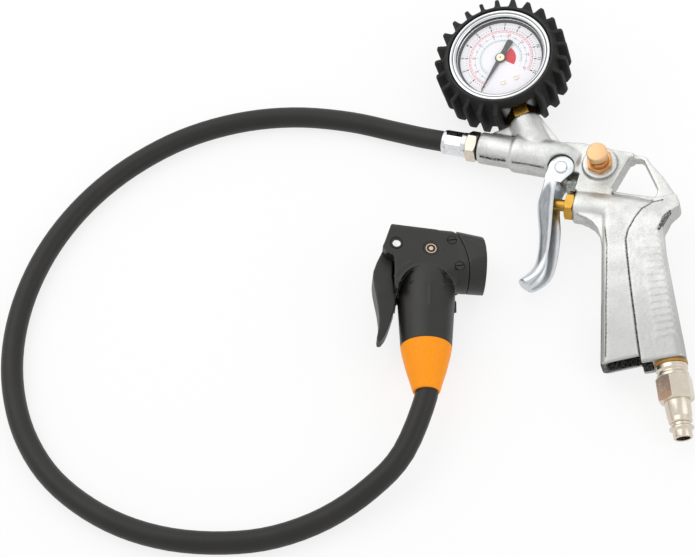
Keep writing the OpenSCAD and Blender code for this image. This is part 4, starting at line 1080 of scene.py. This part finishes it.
class INFLATOR_OT_collar(bpy.types.Operator):
    """Orange collar between chuck and hose"""
    bl_idname = "inflator.collar"
    bl_label = "Collar"

    def execute(self, context):
        tone = tones().collar
        # painted light: the collar glows faintly in its own orange
        f = Finish("collar_orange", Specular_IOR_Level=0.22, Emission_Color=tone, Emission_Strength=0.2)
        at = f.where(SLEEVE)
        fine = f.noise(at, 2.6, 2, 0.6)
        drawn = f.noise(f.stretched(at, 1.6, 1.6, 0.12), 1.0, 3)
        f.feed("Base Color", f.mix(drawn.rise(0.35, 0.75), tone, shade(tone, 0.86)))
        f.feed("Roughness", 0.4 + 0.15 * fine)
        dress(f.bump(fine * 0.4 + drawn * 0.6, 0.03).material, "chuck_collar")
        return {"FINISHED"}


# ---- Stage ----

FRAME_WIDTH, FOCAL_LENGTH = 695, 1700  # pixels
SENSOR_WIDTH = 36
CAMERA_AT = Vector((-0.03312, -0.5137, 0.81265))
CAMERA_OUT = Vector((-0.06, 0.51, 0.858)).normalized()
RAYS = ("Is Camera Ray", "Is Glossy Ray", "Is Transmission Ray")
SURROUND_LIGHT, SURROUND_SEEN = 0.62, 0.92
FLOOR_GLOW, FLOOR_SHARE = 1.1, 0.72


class INFLATOR_OT_camera(bpy.types.Operator):
    """Camera over the laid-out tool"""
    bl_idname = "inflator.camera"
    bl_label = "Camera"

    def execute(self, context):
        side_up = (Vector((0, 1, 0)) - CAMERA_OUT * CAMERA_OUT.y).normalized()
        turn = Matrix((side_up.cross(CAMERA_OUT), side_up, CAMERA_OUT))
        view = bpy.data.cameras.new("camera")
        view.sensor_width = SENSOR_WIDTH
        view.lens = SENSOR_WIDTH * FOCAL_LENGTH / FRAME_WIDTH
        view.clip_start = 0.01
        camera = bpy.data.objects.new("camera", view)
        camera.matrix_world = Matrix.Translation(CAMERA_AT) @ turn.to_4x4()
        context.scene.collection.objects.link(camera)
        context.scene.camera = camera
        return {"FINISHED"}


class INFLATOR_OT_stage(bpy.types.Operator):
    """Pale floor, soft lamps and a plain surround"""
    bl_idname = "inflator.stage"
    bl_label = "Stage"

    def execute(self, context):
        bm = bmesh.new()
        bmesh.ops.create_grid(bm, x_segments=1, y_segments=1, size=4)
        mesh = bpy.data.meshes.new("floor")
        bm.to_mesh(mesh)
        bm.free()
        floor = bpy.data.objects.new("floor", mesh)
        context.scene.collection.objects.link(floor)
        f = Finish("floor_white", Roughness=0.9)
        f.shader.inputs["Base Color"].default_value = (0.82, 0.82, 0.82, 1)
        path = f.tree.nodes.new("ShaderNodeLightPath")
        camera, gloss, through = (Wire(f, path.outputs[ray]) for ray in RAYS)
        glow = f.node("ShaderNodeEmission", {}, {"Color": (1, 1, 1, 1), "Strength": FLOOR_GLOW})
        share = (camera + gloss + through).rise(0.0, 1.0) * FLOOR_SHARE
        both = f.node("ShaderNodeMixShader", {}, {0: share, 1: Wire(f, f.shader.outputs[0]), 2: glow})
        f.tree.links.new(both.socket, f.tree.nodes["Material Output"].inputs["Surface"])
        mesh.materials.append(f.material)
        self.surround(context)
        self.lamp(context, "key", (-0.75, 0.35, 1.15), size=1.3, power=5)
        self.lamp(context, "side", (0.95, -0.25, 0.8), size=0.9, power=1.8)
        self.lamp(context, "back", (0.1, 1.2, 0.9), size=1.2, power=2.0)
        context.scene.view_settings.view_transform = "Standard"
        return {"FINISHED"}

    def surround(self, context):
        world = bpy.data.worlds.new("surround")
        context.scene.world = world
        world.use_nodes = True
        sky = world.node_tree.nodes["Background"]
        sky.inputs["Color"].default_value = (1, 1, 1, 1)
        path = world.node_tree.nodes.new("ShaderNodeLightPath")
        level = world.node_tree.nodes.new("ShaderNodeMapRange")
        level.inputs[3].default_value = SURROUND_LIGHT
        level.inputs[4].default_value = SURROUND_SEEN
        seen = path.outputs[RAYS[0]]
        for ray in RAYS[1:]:
            both = world.node_tree.nodes.new("ShaderNodeMath")
            world.node_tree.links.new(seen, both.inputs[0])
            world.node_tree.links.new(path.outputs[ray], both.inputs[1])
            seen = both.outputs[0]
        world.node_tree.links.new(seen, level.inputs[0])
        world.node_tree.links.new(level.outputs[0], sky.inputs["Strength"])

    def lamp(self, context, name, at, size, power):
        light = bpy.data.lights.new(name, "AREA")
        light.shape = "SQUARE"
        light.size = size
        light.energy = power
        lamp = bpy.data.objects.new(name, light)
        aim = Vector((0, 0, 0.02)) - Vector(at)
        lamp.matrix_world = Matrix.Translation(at) @ aim.to_track_quat("-Z", "Y").to_matrix().to_4x4()
        context.scene.collection.objects.link(lamp)


class INFLATOR_PT_pieces(bpy.types.Panel):
    """Pieces, sizes and colours of the inflator"""
    bl_idname = "INFLATOR_PT_pieces"
    bl_label = "Tire inflator"
    bl_space_type = "VIEW_3D"
    bl_region_type = "UI"
    bl_category = "Inflator"

    def draw(self, context):
        for group in (context.scene.inflator_sizes, context.scene.inflator_colours):
            for key in group.__annotations__:
                self.layout.prop(group, key)
        for piece in PIECES:
            self.layout.operator(piece.bl_idname)


PIECES = (INFLATOR_OT_camera, INFLATOR_OT_hose, INFLATOR_OT_casting, INFLATOR_OT_trigger,
          INFLATOR_OT_fittings, INFLATOR_OT_inlet, INFLATOR_OT_gauge, INFLATOR_OT_dial,
          INFLATOR_OT_boot, INFLATOR_OT_chuck, INFLATOR_OT_lever, INFLATOR_OT_collar,
          INFLATOR_OT_stage)
CLASSES = (InflatorSizes, InflatorColours, INFLATOR_PT_pieces) + PIECES


def register():
    for item in CLASSES:
        bpy.utils.register_class(item)
    bpy.types.Scene.inflator_sizes = bpy.props.PointerProperty(type=InflatorSizes)
    bpy.types.Scene.inflator_colours = bpy.props.PointerProperty(type=InflatorColours)


def unregister():
    del bpy.types.Scene.inflator_colours
    del bpy.types.Scene.inflator_sizes
    for item in reversed(CLASSES):
        bpy.utils.unregister_class(item)


def main():
    register()
    for piece in PIECES:
        group, name = piece.bl_idname.split(".")
        getattr(getattr(bpy.ops, group), name)()


if __name__ == "__main__":
    main()
